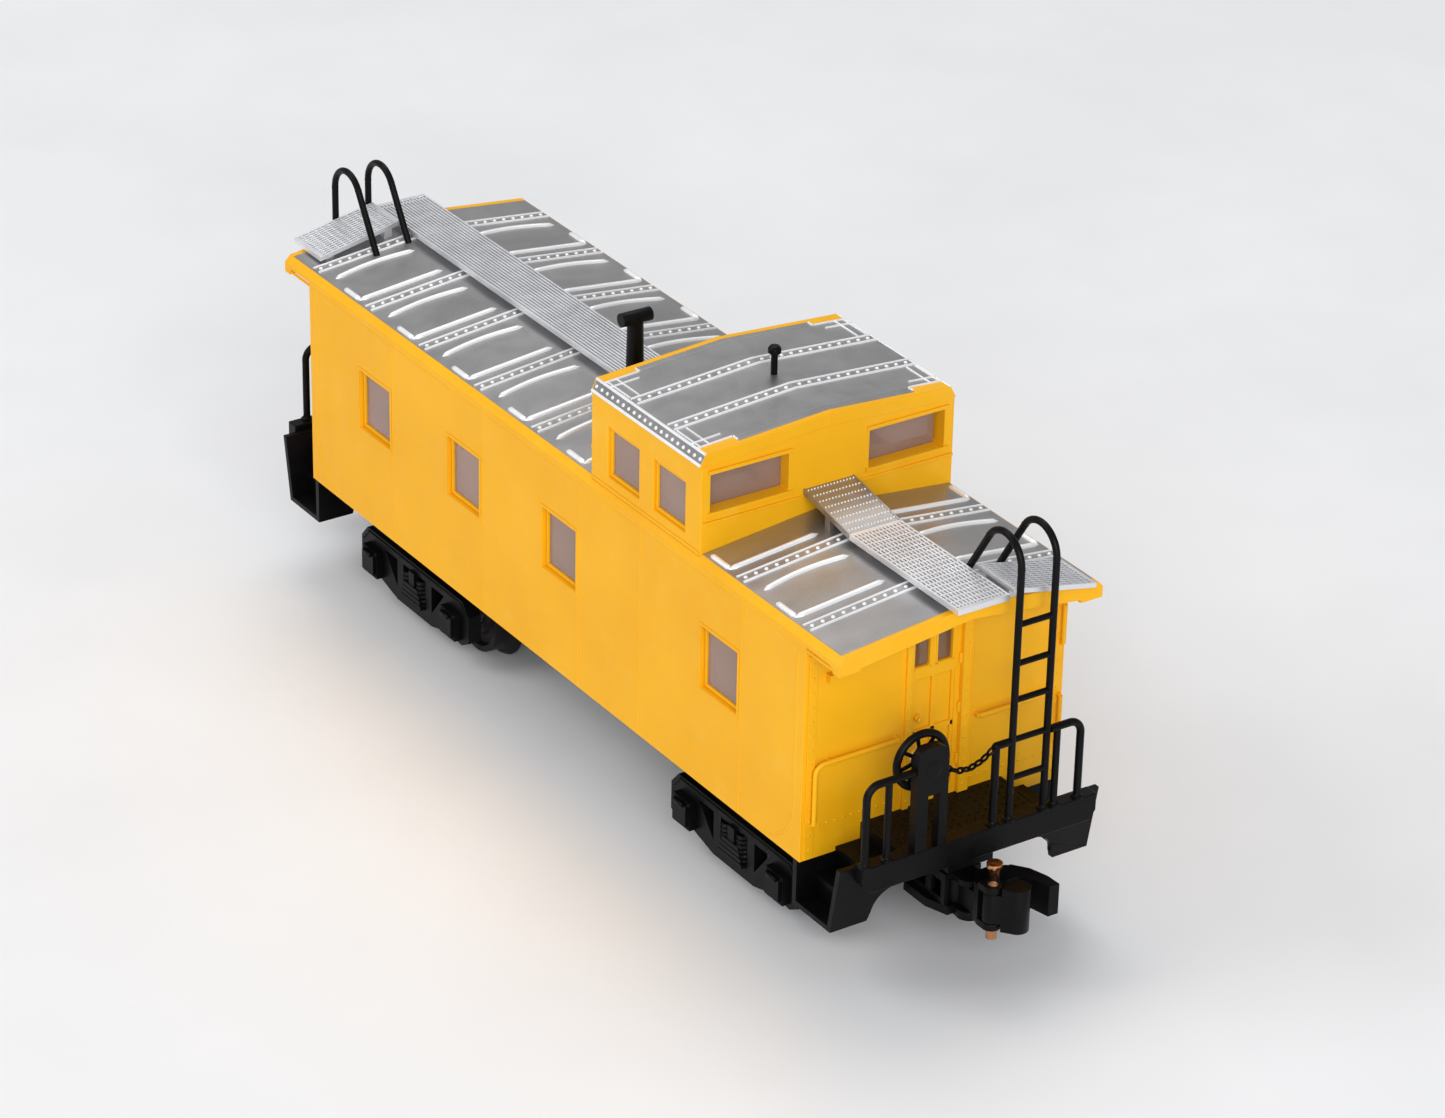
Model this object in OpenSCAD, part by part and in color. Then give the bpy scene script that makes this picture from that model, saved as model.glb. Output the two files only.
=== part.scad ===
// Model caboose, N scale (1:160), built as the loose pieces it comes apart into.
// Frame: X runs along the track, Y across it and Z up. The wheel flanges stand on
// Z = 0. The origin is below the middle of the car. The end that carries the short
// roof is at +X. The far end is the near end turned half a turn about Z.

/* [Body] */
// Length of the body over its end walls
body_len = 60; // [58:0.5:62]
// Width of the body over its sides
body_w = 19.42; // [19:0.02:20]
// Height of the lower edge of the sides above the flange bottoms
body_z = 8.0; // [7.9:0.1:8.4]
// Height of the sides
body_h = 15.6; // [15:0.1:16.5]
// Thickness of the body walls
wall_t = 0.9; // [0.8:0.05:1]

/* [Roof] */
// Length of the roof over both platforms
roof_len = 66.8; // [66:0.1:67.4]
// Width of the roof between the side walls' lips
roof_w = 18.5; // [18.2:0.1:18.6]
// Rise of the roof from eave to ridge
roof_rise = 1.0; // [0.8:0.1:1.3]
// Thickness of a roof moulding
roof_t = 0.6; // [0.5:0.05:0.7]
// Spacing of the riveted seam strips
seam_pitch = 7.1; // [6.8:0.05:7.2]

/* [Cupola] */
// Near face of the cupola's rear wall
cupola_x = 5.6; // [5:0.1:6]
// Length of the cupola
cupola_len = 12.46; // [12:0.02:13]
// Width of the cupola
cupola_w = 18.8; // [18.6:0.1:19]
// Height of the cupola's side walls above the eave of the body
cupola_h = 5.9; // [5.7:0.1:6.2]

/* [Running gear] */
// Distance between the two truck centres
truck_base = 39.6; // [39:0.2:40]
// Distance between the axles of a truck
wheelbase = 10.5; // [10.2:0.1:10.8]
// Diameter of a wheel's tread
tread_d = 5.24; // [5.2:0.02:5.3]
// Depth of a wheel's flange
flange_h = 0.58; // [0.5:0.01:0.6]
// Distance between the inner faces of a pair of wheels
back_to_back = 7.6; // [7.5:0.05:7.7]
// Width of a wheel
wheel_w = 2.0; // [1.8:0.1:2.1]

/* [Platforms] */
// Outer face of the end beam
beam_x = 35.3; // [35:0.1:35.5]
// Height of the platform's deck
deck_z = 9.5; // [9.4:0.1:9.8]
// Height of the lowest part of the steps
step_z = 4.8; // [4.6:0.1:5.2]
// Thickness of a handrail or ladder rail
rod_d = 0.5; // [0.4:0.05:0.6]

/* [Couplers] */
// Distance from the middle of the car to a coupler's buffing face
coupler_reach = 39.3; // [39.2:0.1:39.6]
// Height of a coupler's centre above the flange bottoms
coupler_z = 6.1; // [6:0.05:6.2]
// Diameter of the trip pin
trip_d = 0.7; // [0.6:0.05:0.8]

/* [Hidden] */
$fn = 32;
RADIAL_FIT = 0.05;

YELLOW = "#f2b81e";
SILVER = "#9aa0a6";
BLACK = "#1c1d20";
CLEAR = [0.75, 0.82, 0.85, 0.4];
STEEL = "#8d9298";
COPPER = "#b8672f";

// Body and roof heights
half_l = body_len / 2;
half_w = body_w / 2;
eave_z = body_z + body_h;
ridge_z = eave_z + roof_rise;
under_eave_z = eave_z - roof_t;
inner_half_w = half_w - wall_t;
end_wall_t = 1.0;
fascia_t = 0.45;
fascia_h = 1.0;
eave_drop = 1.2;
eave_bevel = 0.45;
sheet_x = roof_len / 2 - fascia_t;
roof_slope = roof_rise / (roof_w / 2);

// Cupola
cupola_x1 = cupola_x + cupola_len;
cupola_mid = (cupola_x + cupola_x1) / 2;
cupola_eave_z = eave_z + cupola_h;
cupola_rim = 0.35;
cupola_inner_w = cupola_w - 2 * wall_t;
// Its roof: nearly flat out to the shoulders, then a steep band down to the lips
cupola_lip = cupola_w / 2 + 0.1;
shoulder_y = cupola_lip - 0.45;
shoulder_z = cupola_eave_z + 0.8;
cupola_rise = 0.6;
cupola_ridge_z = shoulder_z + cupola_rise;
cupola_notch_y = 6.5;
vent_r = 0.22;

// Windows: left edges of the side windows, and their common size
side_window_x = [-23.4, -11.8, 0.1, 18.6];
window_w = 4.46;
window_h = 4.75;
window_z = body_z + 6.6;
window_frame = 0.45;
cupola_side_x = [7.3, 12.5];
cupola_side_w = 4.0;
cupola_side_z = eave_z + 0.5;
cupola_side_h = 3.9;
cupola_end_y = 3.0;
cupola_end_w = 5.7;
cupola_end_z = eave_z + 2.7;
cupola_end_h = 2.6;
pane_t = 0.5;

// Running gear
axle_z = tread_d / 2 + flange_h;
truck_x = truck_base / 2;
side_frame_y = 6.6;
side_frame_t = 1.0;
bolster_top_z = 6.6;
bolster_bottom_z = 4.7;
axle_r = 0.75;
axle_tip_y = 7.1;
kingpin_r = 0.8;

// Underframe
floor_z = body_z - 0.6;
floor_t = 1.6;
sill_z = 6.9;
sill_w = 3.4;

// Platforms, steps and rails
beam_t = 1.0;
beam_z0 = body_z + 0.1;
beam_z1 = deck_z + 0.4;
beam_half = 8.7;
rod_r = rod_d / 2;
rail_x = beam_x - 0.35;
rail_z = 15.35;
step_x0 = 29.3;
step_half = half_w - 0.02;
step_inner = 4.9;

// Brake stand and wheel
stand_y = -3.85;
stand_w = 2.3;
stand_z1 = 16.9;
wheel_x = 34.0;
wheel_z = 15.4;
brake_wheel_r = 2.05;
pin_r = 0.3;

// Ladder
ladder_y = [2.2, 4.8];
ladder_arc_x = 33.2;
ladder_arc_z = 27.0;
ladder_arc_r = 1.75;
ladder_arc_deg = 148;
ladder_embed = 0.1;
ladder_r = rod_r * 0.92;
rung_z = [12.75, 15.4, 18.15, 20.65, 23.3];

// Coupler and its draft box
post_x = 33.1;
post_r = 0.5;
box_x0 = 29.9;
box_x1 = 33.6;
box_half = 1.35;
box_wall = 0.3;
box_nose_x = 34.35;
box_nose_r = 0.85;
cover_half = 1.75;
cover_t = 0.6;
eye_r = 0.92;
tail_len = 1.35;
box_z0 = 4.1;
box_z1 = 6.3;
box_roof_t = 0.4;
head_z0 = coupler_z - 1.5;
head_z1 = coupler_z + 1.5;
arm_z0 = coupler_z - 0.9;
arm_z1 = head_z1 - 0.3;
knuckle_at = [coupler_reach - 1.7, -0.75];
nose_at = [coupler_reach - 0.7, 0.42];
nose_r = 0.775;
nose_dir = (nose_at - knuckle_at) / norm(nose_at - knuckle_at);
nose_side = [nose_dir[1], -nose_dir[0]];
barrel_r = 0.6;
barrel_room = 0.7;
lug_t = 0.45;
lug_r = 0.62;
trip_x = 36.7;

// ---------------------------------------------------------------- helpers

// A box given by its low and high corners
module block(low, high) {
    translate(low) cube(high - low);
}

// Children turned to one end of the car: +1 leaves them, -1 turns them half a turn
module at_end(side) {
    rotate([0, 0, side > 0 ? 0 : 180]) children();
}

// A YZ outline extruded along X from x0 to x1
module along_x(x0, x1) {
    translate([x0, 0, 0]) rotate([90, 0, 90]) linear_extrude(x1 - x0) children();
}

// An XZ outline extruded along Y from y0 to y1
module along_y(y0, y1) {
    translate([0, y1, 0]) rotate([90, 0, 0]) linear_extrude(y1 - y0) children();
}

// A round rod along X, Y or Z from a point
module rod_x(p, len, r) { translate(p) rotate([0, 90, 0]) cylinder(h = len, r = r); }
module rod_y(p, len, r) { translate(p) rotate([-90, 0, 0]) cylinder(h = len, r = r); }
module rod_z(p, len, r) { translate(p) cylinder(h = len, r = r); }

// A bent rod: part of a ring in the YZ plane, about point p, from angle a for sweep degrees
module bend_yz(p, ring_r, r, a, sweep) {
    translate(p) rotate([90, 0, 90]) rotate([0, 0, a])
        rotate_extrude(angle = sweep) translate([ring_r, 0]) circle(r);
}

// Gable outline: width, eave height, rise and thickness measured straight down
module gable_band(w, z, rise, t) {
    polygon([[-w / 2, z], [0, z + rise], [w / 2, z], [w / 2, z - t], [0, z + rise - t], [-w / 2, z - t]]);
}

// Gabled wall outline from its foot to the underside of a roof
module gable_wall(w, foot, z, rise) {
    polygon([[-w / 2, foot], [w / 2, foot], [w / 2, z], [0, z + rise], [-w / 2, z]]);
}

// ---------------------------------------------------------------- body

// Window opening in the +Y wall, with a shallow rebate round it for the frame
module window_cut(x, z, w, h, y_in, y_out, frame, frame_depth) {
    block([x + frame, y_in - 0.2, z + frame], [x + w - frame, y_out + 0.2, z + h - frame]);
    block([x + frame / 2, y_out - frame_depth, z + frame / 2], [x + w - frame / 2, y_out + 0.2, z + h - frame / 2]);
}

// The +Y side of the body
module body_side() {
    arch_len = 2.3;
    arch_r = eave_drop - 0.75;
    difference() {
        union() {
            block([-half_l, inner_half_w, body_z], [half_l, half_w, under_eave_z]);
            // The eave runs on past the end walls, out over the platforms
            block([-roof_len / 2, inner_half_w, eave_z - eave_drop], [roof_len / 2, half_w, under_eave_z]);
            // Lip beside the roof, sloping down on its outer edge
            along_x(-roof_len / 2, roof_len / 2)
                polygon([[roof_w / 2, under_eave_z - 0.01], [half_w, under_eave_z - 0.01],
                         [half_w, eave_z - eave_bevel], [roof_w / 2, eave_z]]);
        }
        for (x = side_window_x)
            window_cut(x, window_z, window_w, window_h, inner_half_w, half_w, window_frame, 0.35);
        // Notch for the foot of the cupola's side wall
        block([cupola_x, 0, under_eave_z], [cupola_x1, cupola_w / 2, eave_z + 1]);
        // Over each platform the eave is shallow, with a rounded drop at its outer end
        for (end = [-1, 1]) at_end(end) {
            block([half_l, -half_w - 1, body_z], [half_l + arch_len, half_w + 1, eave_z - eave_drop + arch_r]);
            rod_y([half_l + arch_len, -half_w - 1, eave_z - eave_drop], body_w + 2, arch_r);
        }
    }
}

module body_sides() {
    body_side();
    // The windows are at the same X on both sides
    mirror([0, 1, 0]) body_side();
}

module end_wall() {
    difference() {
        along_x(half_l - end_wall_t, half_l) gable_wall(roof_w, body_z, under_eave_z, roof_rise);
        // Door panels and the two panes of the door
        block([half_l - 0.25, -1.6, deck_z + 0.7], [half_l + 1, 1.4, 18.2]);
        for (y = [-1.7, 0])
            block([half_l - 2, y, 19.1], [half_l + 1, y + 1.1, 21.3]);
        // Side walls keep their own corners
        for (side = [-1, 1])
            block([0, side > 0 ? inner_half_w : -half_w, 0], [half_l + 1, side > 0 ? half_w : -inner_half_w, 40]);
    }
    // Door frame
    for (y = [-2.35, 1.9])
        block([half_l, y, deck_z], [half_l + 0.25, y + 0.45, 21.9]);
    // Fascia across the end of the roof, with its corner drops
    along_x(sheet_x, roof_len / 2) difference() {
        gable_wall(roof_w, eave_z - eave_drop, eave_z, roof_rise);
        gable_wall(roof_w - 2.4, 0, eave_z - fascia_h, roof_rise);
    }
}

module body_shell() {
    color(YELLOW) union() {
        body_sides();
        for (end = [-1, 1]) at_end(end) end_wall();
    }
}

// ---------------------------------------------------------------- roofs

// A riveted strip that lies across a gabled roof
module seam_strip(x, w, z, rise, strip_w = 0.9, strip_h = 0.14) {
    along_x(x - strip_w / 2, x + strip_w / 2) gable_band(w, z + strip_h, rise, strip_h + 0.05);
}

// A pressed bead that runs down one slope of the main roof
module slope_bead(x, side, y0 = 2.6, y1 = 8.8, r = 0.3) {
    angle = atan(roof_slope);
    translate([x, side * y0, ridge_z - roof_slope * y0 - r * 0.45])
        rotate([side > 0 ? -90 - angle : 90 + angle, 0, 0]) cylinder(h = (y1 - y0) / cos(angle), r = r, $fn = 24);
}

module roof_section(x0, x1, seams) {
    color(SILVER) union() {
        along_x(x0, x1) gable_band(roof_w, eave_z, roof_rise, roof_t);
        for (x = seams) seam_strip(x, roof_w, eave_z, roof_rise);
        for (i = [0 : len(seams) - 2])
            for (side = [-1, 1])
                for (x = [seams[i] + 1.9, seams[i + 1] - 1.4]) slope_bead(x, side);
    }
}

rear_seams = [for (i = [0 : 4]) -half_l + i * seam_pitch];
front_seams = [half_l - 0.8 - seam_pitch, half_l - 0.8];

module roof_rear() { roof_section(-sheet_x, cupola_x, rear_seams); }
module roof_front() { roof_section(cupola_x1, sheet_x, front_seams); }

module cupola_shell() {
    pocket_half = cupola_notch_y;
    color(YELLOW) difference() {
        union() {
            block([cupola_x, -cupola_w / 2, under_eave_z], [cupola_x1, cupola_w / 2, cupola_eave_z]);
            // The end walls go on up, flush with the roof, between its steep bands
            for (x = [cupola_x, cupola_x1 - wall_t])
                along_x(x, x + wall_t) gable_wall(2 * shoulder_y, body_z + body_h, shoulder_z, cupola_rise);
        }
        // Inside
        block([cupola_x + wall_t, -cupola_inner_w / 2, 0], [cupola_x1 - wall_t, cupola_inner_w / 2, 60]);
        // Seat of the roof's sheet in the end walls
        along_x(cupola_x + cupola_rim, cupola_x1 - cupola_rim)
            polygon([[-pocket_half, cupola_sheet_z(pocket_half) - roof_t], [0, cupola_ridge_z - roof_t],
                     [pocket_half, cupola_sheet_z(pocket_half) - roof_t], [pocket_half, 60], [-pocket_half, 60]]);
        // Side windows
        for (hand = [0, 1]) mirror([0, hand, 0])
            for (x = cupola_side_x)
                window_cut(x, cupola_side_z, cupola_side_w, cupola_side_h, cupola_inner_w / 2, cupola_w / 2, 0.4, 0.3);
        // End windows
        for (side = [-1, 1])
            block([0, side > 0 ? cupola_end_y : -cupola_end_y - cupola_end_w, cupola_end_z],
                  [40, side > 0 ? cupola_end_y + cupola_end_w : -cupola_end_y, cupola_end_z + cupola_end_h]);
    }
}

// Height of the cupola roof's upper face at a distance from its ridge
function cupola_sheet_z(y) = cupola_ridge_z - cupola_rise * y / shoulder_y;

// Section of the cupola's roof: sheet, steep bands and the hollow under them
module cupola_section() {
    hollow_y = shoulder_y - 0.35;
    polygon([[-cupola_lip, cupola_eave_z], [-shoulder_y, shoulder_z], [0, cupola_ridge_z], [shoulder_y, shoulder_z],
             [cupola_lip, cupola_eave_z], [shoulder_y, cupola_eave_z], [hollow_y, shoulder_z - roof_t],
             [0, cupola_ridge_z - roof_t], [-hollow_y, shoulder_z - roof_t], [-shoulder_y, cupola_eave_z]]);
}

module cupola_roof() {
    color(SILVER) difference() {
        union() {
            along_x(cupola_x + wall_t, cupola_x1 - wall_t) cupola_section();
            // Between the notches the sheet reaches into the end walls
            along_x(cupola_x + cupola_rim, cupola_x1 - cupola_rim)
                gable_band(2 * cupola_notch_y, cupola_sheet_z(cupola_notch_y),
                           cupola_ridge_z - cupola_sheet_z(cupola_notch_y), roof_t);
            // The steep bands run the whole length
            for (hand = [0, 1]) mirror([0, hand, 0]) along_x(cupola_x, cupola_x1)
                polygon([[shoulder_y, cupola_eave_z], [cupola_lip, cupola_eave_z], [shoulder_y, shoulder_z]]);
            for (i = [1, 2])
                seam_strip(cupola_x + i * cupola_len / 3, 2 * shoulder_y, shoulder_z, cupola_rise);
        }
        // Socket for the vent
        rod_z([cupola_mid, 0, 0], 60, vent_r);
    }
}

// ---------------------------------------------------------------- roof fittings

board_half = 1.9;
board_t = 0.4;
board_top = ridge_z + 0.6;
ramp_len = 5;
ramp_rise = 0.9;

// Saddle under a running board: flat on top, with the roof's own gable underneath
module board_saddle(x) {
    half = 1.2;
    along_x(x - 0.4, x + 0.4)
        polygon([[-half, ridge_z - roof_slope * half], [0, ridge_z], [half, ridge_z - roof_slope * half],
                 [half, board_top - board_t + 0.01], [-half, board_top - board_t + 0.01]]);
}

// Board that is flat out to the roof's end and ramps up to the cupola's wall at x_wall
module running_board(x_wall, x_out, saddles) {
    x_knee = x_wall < x_out ? x_wall + ramp_len : x_wall - ramp_len;
    low = board_top - board_t;
    color(SILVER) union() {
        along_y(-board_half, board_half)
            polygon([[x_out, low], [x_out, board_top], [x_knee, board_top], [x_wall, board_top + ramp_rise],
                     [x_wall, low + ramp_rise], [x_knee, low]]);
        for (x = saddles) board_saddle(x);
        // Struts under the edges of the ramp
        for (hand = [0, 1]) mirror([0, hand, 0])
            block([(x_wall + x_knee) / 2 - 0.25, 1.4, ridge_z - roof_slope * 1.4], [(x_wall + x_knee) / 2 + 0.25, 1.8, low + ramp_rise / 2]);
    }
}

module running_board_rear() { running_board(cupola_x, -half_l - 4.4, [-31.5, -19.3, -5.2]); }
module running_board_front() { running_board(cupola_x1, half_l + 4.4, [24.2, 31.8]); }

// Cross board beside the ladder, dipping a little more than the roof, on two cleats
module lateral_board(side) {
    y0 = 2.2;
    y1 = 8.4;
    z0 = board_top + 0.3;
    slope = 0.21;
    t = 0.35;
    color(SILVER) at_end(side) union() {
        along_x(half_l + 0.7, half_l + 4.4)
            polygon([[y0, z0 - t], [y1, z0 - t - slope * (y1 - y0)], [y1, z0 - slope * (y1 - y0)], [y0, z0]]);
        for (y = [2.6, 7.2])
            along_x(half_l + 1, roof_len / 2)
                polygon([[y, ridge_z - roof_slope * y], [y + 0.6, ridge_z - roof_slope * (y + 0.6)],
                         [y + 0.6, z0 - t / 2 - slope * (y + 0.6 - y0)], [y, z0 - t / 2 - slope * (y - y0)]]);
    }
}
module lateral_board_rear() { lateral_board(-1); }
module lateral_board_front() { lateral_board(1); }

module smokejack() {
    jack_x = 0.57;
    jack_y = -3.0;
    jack_z = 30.96;
    color(BLACK) difference() {
        union() {
            translate([jack_x, jack_y, eave_z]) cylinder(h = jack_z - eave_z, r1 = 0.65, r2 = 0.52);
            rod_y([jack_x, jack_y - 1.1, jack_z], 2.2, 0.46);
        }
        // Foot cut to the roof's slope
        along_x(jack_x - 2, jack_x + 2) gable_wall(roof_w, 0, eave_z, roof_rise);
    }
}

module cupola_vent() {
    head_r = 0.42;
    color(BLACK) translate([cupola_mid, 0, cupola_ridge_z - roof_t]) rotate_extrude()
        polygon([[0, 0], [vent_r, 0], [vent_r, roof_t + 1.35], [head_r, roof_t + 1.45], [head_r, roof_t + 1.75],
                 [0.3, roof_t + 1.9], [0, roof_t + 1.95]]);
}

// ---------------------------------------------------------------- glazing

module side_glazing(side) {
    y_in = inner_half_w - pane_t;
    color(CLEAR) block([-24.5, side > 0 ? y_in : -inner_half_w, window_z - 0.8],
                       [24, side > 0 ? inner_half_w : -y_in, window_z + window_h + 0.8]);
}
module side_glazing_left() { side_glazing(-1); }
module side_glazing_right() { side_glazing(1); }

module cupola_glazing() {
    half = cupola_inner_w / 2;
    x0 = cupola_x + wall_t;
    x1 = cupola_x1 - wall_t;
    color(CLEAR) {
        for (side = [-1, 1])
            block([x0 + pane_t + 0.1, side > 0 ? half - pane_t : -half, cupola_side_z - 0.3],
                  [x1 - pane_t - 0.1, side > 0 ? half : -half + pane_t, cupola_side_z + cupola_side_h + 0.4]);
        for (x = [x0, x1 - pane_t])
            block([x, -half, cupola_end_z - 0.5], [x + pane_t, half, cupola_eave_z - 0.2]);
    }
}

module door_glazing() {
    color(CLEAR) for (end = [-1, 1]) at_end(end)
        block([half_l - end_wall_t - pane_t, -2.2, 18.6], [half_l - end_wall_t, 1.6, 21.8]);
}

// ---------------------------------------------------------------- inside and under the floor

module ballast_weight() {
    color(STEEL) difference() {
        block([-22, -7, floor_z + floor_t], [22, 7, floor_z + floor_t + 2.2]);
        // Holes over the kingpins' sockets
        for (end = [-1, 1]) rod_z([end * truck_x, 0, 0], 40, 1.6);
    }
}

module underframe() {
    color(BLACK) difference() {
        union() {
            block([-half_l + end_wall_t, -inner_half_w, floor_z], [half_l - end_wall_t, inner_half_w, floor_z + floor_t]);
            // Centre sill, shallow over the draft boxes
            block([-beam_x + beam_t, -sill_w / 2, sill_z], [beam_x - beam_t, sill_w / 2, floor_z + 0.6]);
            block([-9, -0.8, 5.6], [9, 0.8, sill_z + 0.1]);
            // Body bolsters, with a round boss on each truck
            for (end = [-1, 1]) {
                block([end * truck_x - 1.3, -8.4, sill_z], [end * truck_x + 1.3, 8.4, floor_z + 0.1]);
                rod_z([end * truck_x, 0, bolster_top_z + 0.02], 1, 2.2);
            }
        }
        for (end = [-1, 1]) rod_z([end * truck_x, 0, 5], 6, kingpin_r);
    }
}

module brake_cylinder() {
    color(BLACK) union() {
        rod_x([-6.5, 4.6, 5.6], 5.4, 1.2);
        rod_x([-1.1, 4.6, 5.6], 0.5, 1.4);
        rod_x([-0.6, 4.6, 5.6], 3.2, 0.25);
        block([-5.6, 4.0, 5.6], [-4.8, 5.2, floor_z]);
        block([-2.6, 4.0, 5.6], [-1.8, 5.2, floor_z]);
    }
}

module air_reservoir() {
    color(BLACK) union() {
        rod_x([-4.5, -4.8, 5.7], 9, 1.35);
        for (x = [-3.4, 2.6]) block([x, -5.4, 5.7], [x + 0.8, -4.2, floor_z]);
    }
}

// ---------------------------------------------------------------- platforms

module end_platform(side) {
    color(BLACK) at_end(side) union() {
        block([half_l, -5, body_z], [beam_x - beam_t, 5, deck_z]);
        // End beam, with its lower corners cut back
        along_x(beam_x - beam_t, beam_x)
            polygon([[-beam_half, beam_z1], [-beam_half, beam_z0 + 0.6], [-beam_half + 0.5, beam_z0],
                     [beam_half - 0.5, beam_z0], [beam_half, beam_z0 + 0.6], [beam_half, beam_z1]]);
    }
}
module end_platform_front() { end_platform(1); }
module end_platform_rear() { end_platform(-1); }

// End outline of the steps, in Y and Z: the plate's inner edge curves up to the beam
module step_outline(z1) {
    difference() {
        polygon([[step_inner + 0.1, z1], [step_half, z1], [step_half, step_z], [7.0, step_z],
                 [6.6, step_z + 1.2], [step_inner + 0.1, body_z - 0.6]]);
        translate([5.1, 5.3]) circle(r = 1.7);
    }
}

// One flight of steps at the +X, +Y corner
module step_flight() {
    plate = 0.4;
    slant_x1 = 34.25;
    slant_x0 = 33.4;
    union() {
        // Inner plate, under the body
        along_x(step_x0, step_x0 + plate) step_outline(floor_z + 0.6);
        // Outer plate, leaning outward to the beam
        intersection() {
            along_x(slant_x0 - 1, slant_x1) step_outline(deck_z);
            along_y(0, step_half)
                polygon([[slant_x0 - plate, step_z], [slant_x0, step_z], [slant_x1, deck_z], [slant_x1 - plate, deck_z]]);
        }
        // Treads
        block([step_x0, 7.9, step_z], [slant_x0 - 0.2, step_half, step_z + 0.35]);
        block([step_x0, 6.5, step_z + 1.6], [slant_x0, step_half - 1.3, step_z + 1.95]);
        block([step_x0 + 0.7, 5.02, step_z + 3.2], [slant_x0 + 0.3, step_half - 2.6, step_z + 3.55]);
        // Risers
        block([step_x0, 7.9, step_z], [slant_x0 - 0.2, 8.15, step_z + 1.7]);
        block([step_x0, 6.5, step_z + 1.6], [slant_x0, 6.75, step_z + 2.9]);
        block([step_x0 + 0.7, 6.5, step_z + 2.8], [slant_x0, 6.75, step_z + 3.3]);
        block([step_x0 + 0.7, 5.02, step_z + 3.2], [slant_x0 + 0.5, 5.27, deck_z]);
    }
}

module steps(side) {
    color(BLACK) at_end(side) for (hand = [0, 1]) mirror([0, hand, 0]) step_flight();
}
module steps_front() { steps(1); }
module steps_rear() { steps(-1); }

module end_railing(side) {
    corner = 0.9;
    left = -beam_half + rod_r;
    right = 7.4;
    post_y = 1.0;
    color(BLACK) at_end(side) union() {
        // Rail from the steps to the brake stand
        rod_z([rail_x, left, beam_z1], rail_z - corner - beam_z1, rod_r);
        bend_yz([rail_x, left + corner, rail_z - corner], corner, rod_r, 90, 90);
        rod_y([rail_x, left + corner, rail_z], stand_y - stand_w / 2 - left - corner, rod_r);
        rod_z([rail_x, -6.85, beam_z1], rail_z - beam_z1, rod_r * 0.9);
        // Rail from the gate to the other steps
        rod_z([rail_x, right, beam_z1], rail_z - corner - beam_z1, rod_r);
        bend_yz([rail_x, right - corner, rail_z - corner], corner, rod_r, 0, 90);
        // The ladder's uprights stand in this rail's way, so it stops at each of them
        rod_y([rail_x, post_y, rail_z], ladder_y[0] - ladder_r - post_y, rod_r);
        rod_y([rail_x, ladder_y[1] + ladder_r, rail_z], right - corner - ladder_y[1] - ladder_r, rod_r);
        translate([rail_x, post_y, rail_z]) sphere(rod_r);
        rod_z([rail_x, post_y, beam_z1], rail_z - beam_z1, rod_r);
        rod_z([rail_x, 5.6, beam_z1], rail_z - beam_z1, rod_r * 0.9);
    }
}
module end_railing_front() { end_railing(1); }
module end_railing_rear() { end_railing(-1); }

// Chain across the gate: a sagging moulded string between the stand and the post
chain_y0 = stand_y + stand_w / 2;
chain_y1 = 1.0 - rod_r * 0.8;
chain_sag = 0.75;
chain_r = 0.16;
chain_steps = 8;
function chain_point(t) = [rail_x, chain_y0 + t * (chain_y1 - chain_y0),
                           15.0 + 0.3 * t - 4 * chain_sag * t * (1 - t)];

module gate_chain(side) {
    color(BLACK) at_end(side) union() {
        for (i = [0 : chain_steps - 1]) {
            a = chain_point(i / chain_steps);
            b = chain_point((i + 1) / chain_steps);
            span = norm(b - a);
            translate(a) rotate([-atan2(b[1] - a[1], b[2] - a[2]), 0, 0]) cylinder(h = span, r = chain_r, $fn = 16);
            if (i > 0) translate(a) sphere(chain_r * 1.12, $fn = 16);
        }
    }
}
module gate_chain_front() { gate_chain(1); }
module gate_chain_rear() { gate_chain(-1); }

module ladder(side) {
    r = ladder_r;
    arc_end_x = ladder_arc_x + ladder_arc_r * cos(ladder_arc_deg);
    arc_end_z = ladder_arc_z + ladder_arc_r * sin(ladder_arc_deg);
    color(BLACK) at_end(side) union() {
        for (y = ladder_y) {
            rod_z([ladder_arc_x + ladder_arc_r, y, beam_z1], ladder_arc_z - beam_z1, r);
            translate([ladder_arc_x, y, ladder_arc_z]) rotate([90, 0, 0])
                rotate_extrude(angle = ladder_arc_deg) translate([ladder_arc_r, 0]) circle(r);
            // Slant down to the foot, which is set a little into the roof, with a bead at each bend
            drop = arc_end_z - (ridge_z - roof_slope * y) + ladder_embed;
            translate([arc_end_x, y, arc_end_z]) rotate([0, -ladder_arc_deg, 0])
                cylinder(h = -drop / cos(ladder_arc_deg), r = r);
            translate([arc_end_x, y, arc_end_z]) sphere(r * 1.06);
            translate([ladder_arc_x + ladder_arc_r, y, ladder_arc_z]) sphere(r * 1.06);
        }
        for (z = rung_z)
            rod_y([ladder_arc_x + ladder_arc_r, ladder_y[0], z], ladder_y[1] - ladder_y[0], r * 0.85);
    }
}
module ladder_front() { ladder(1); }
module ladder_rear() { ladder(-1); }

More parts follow.
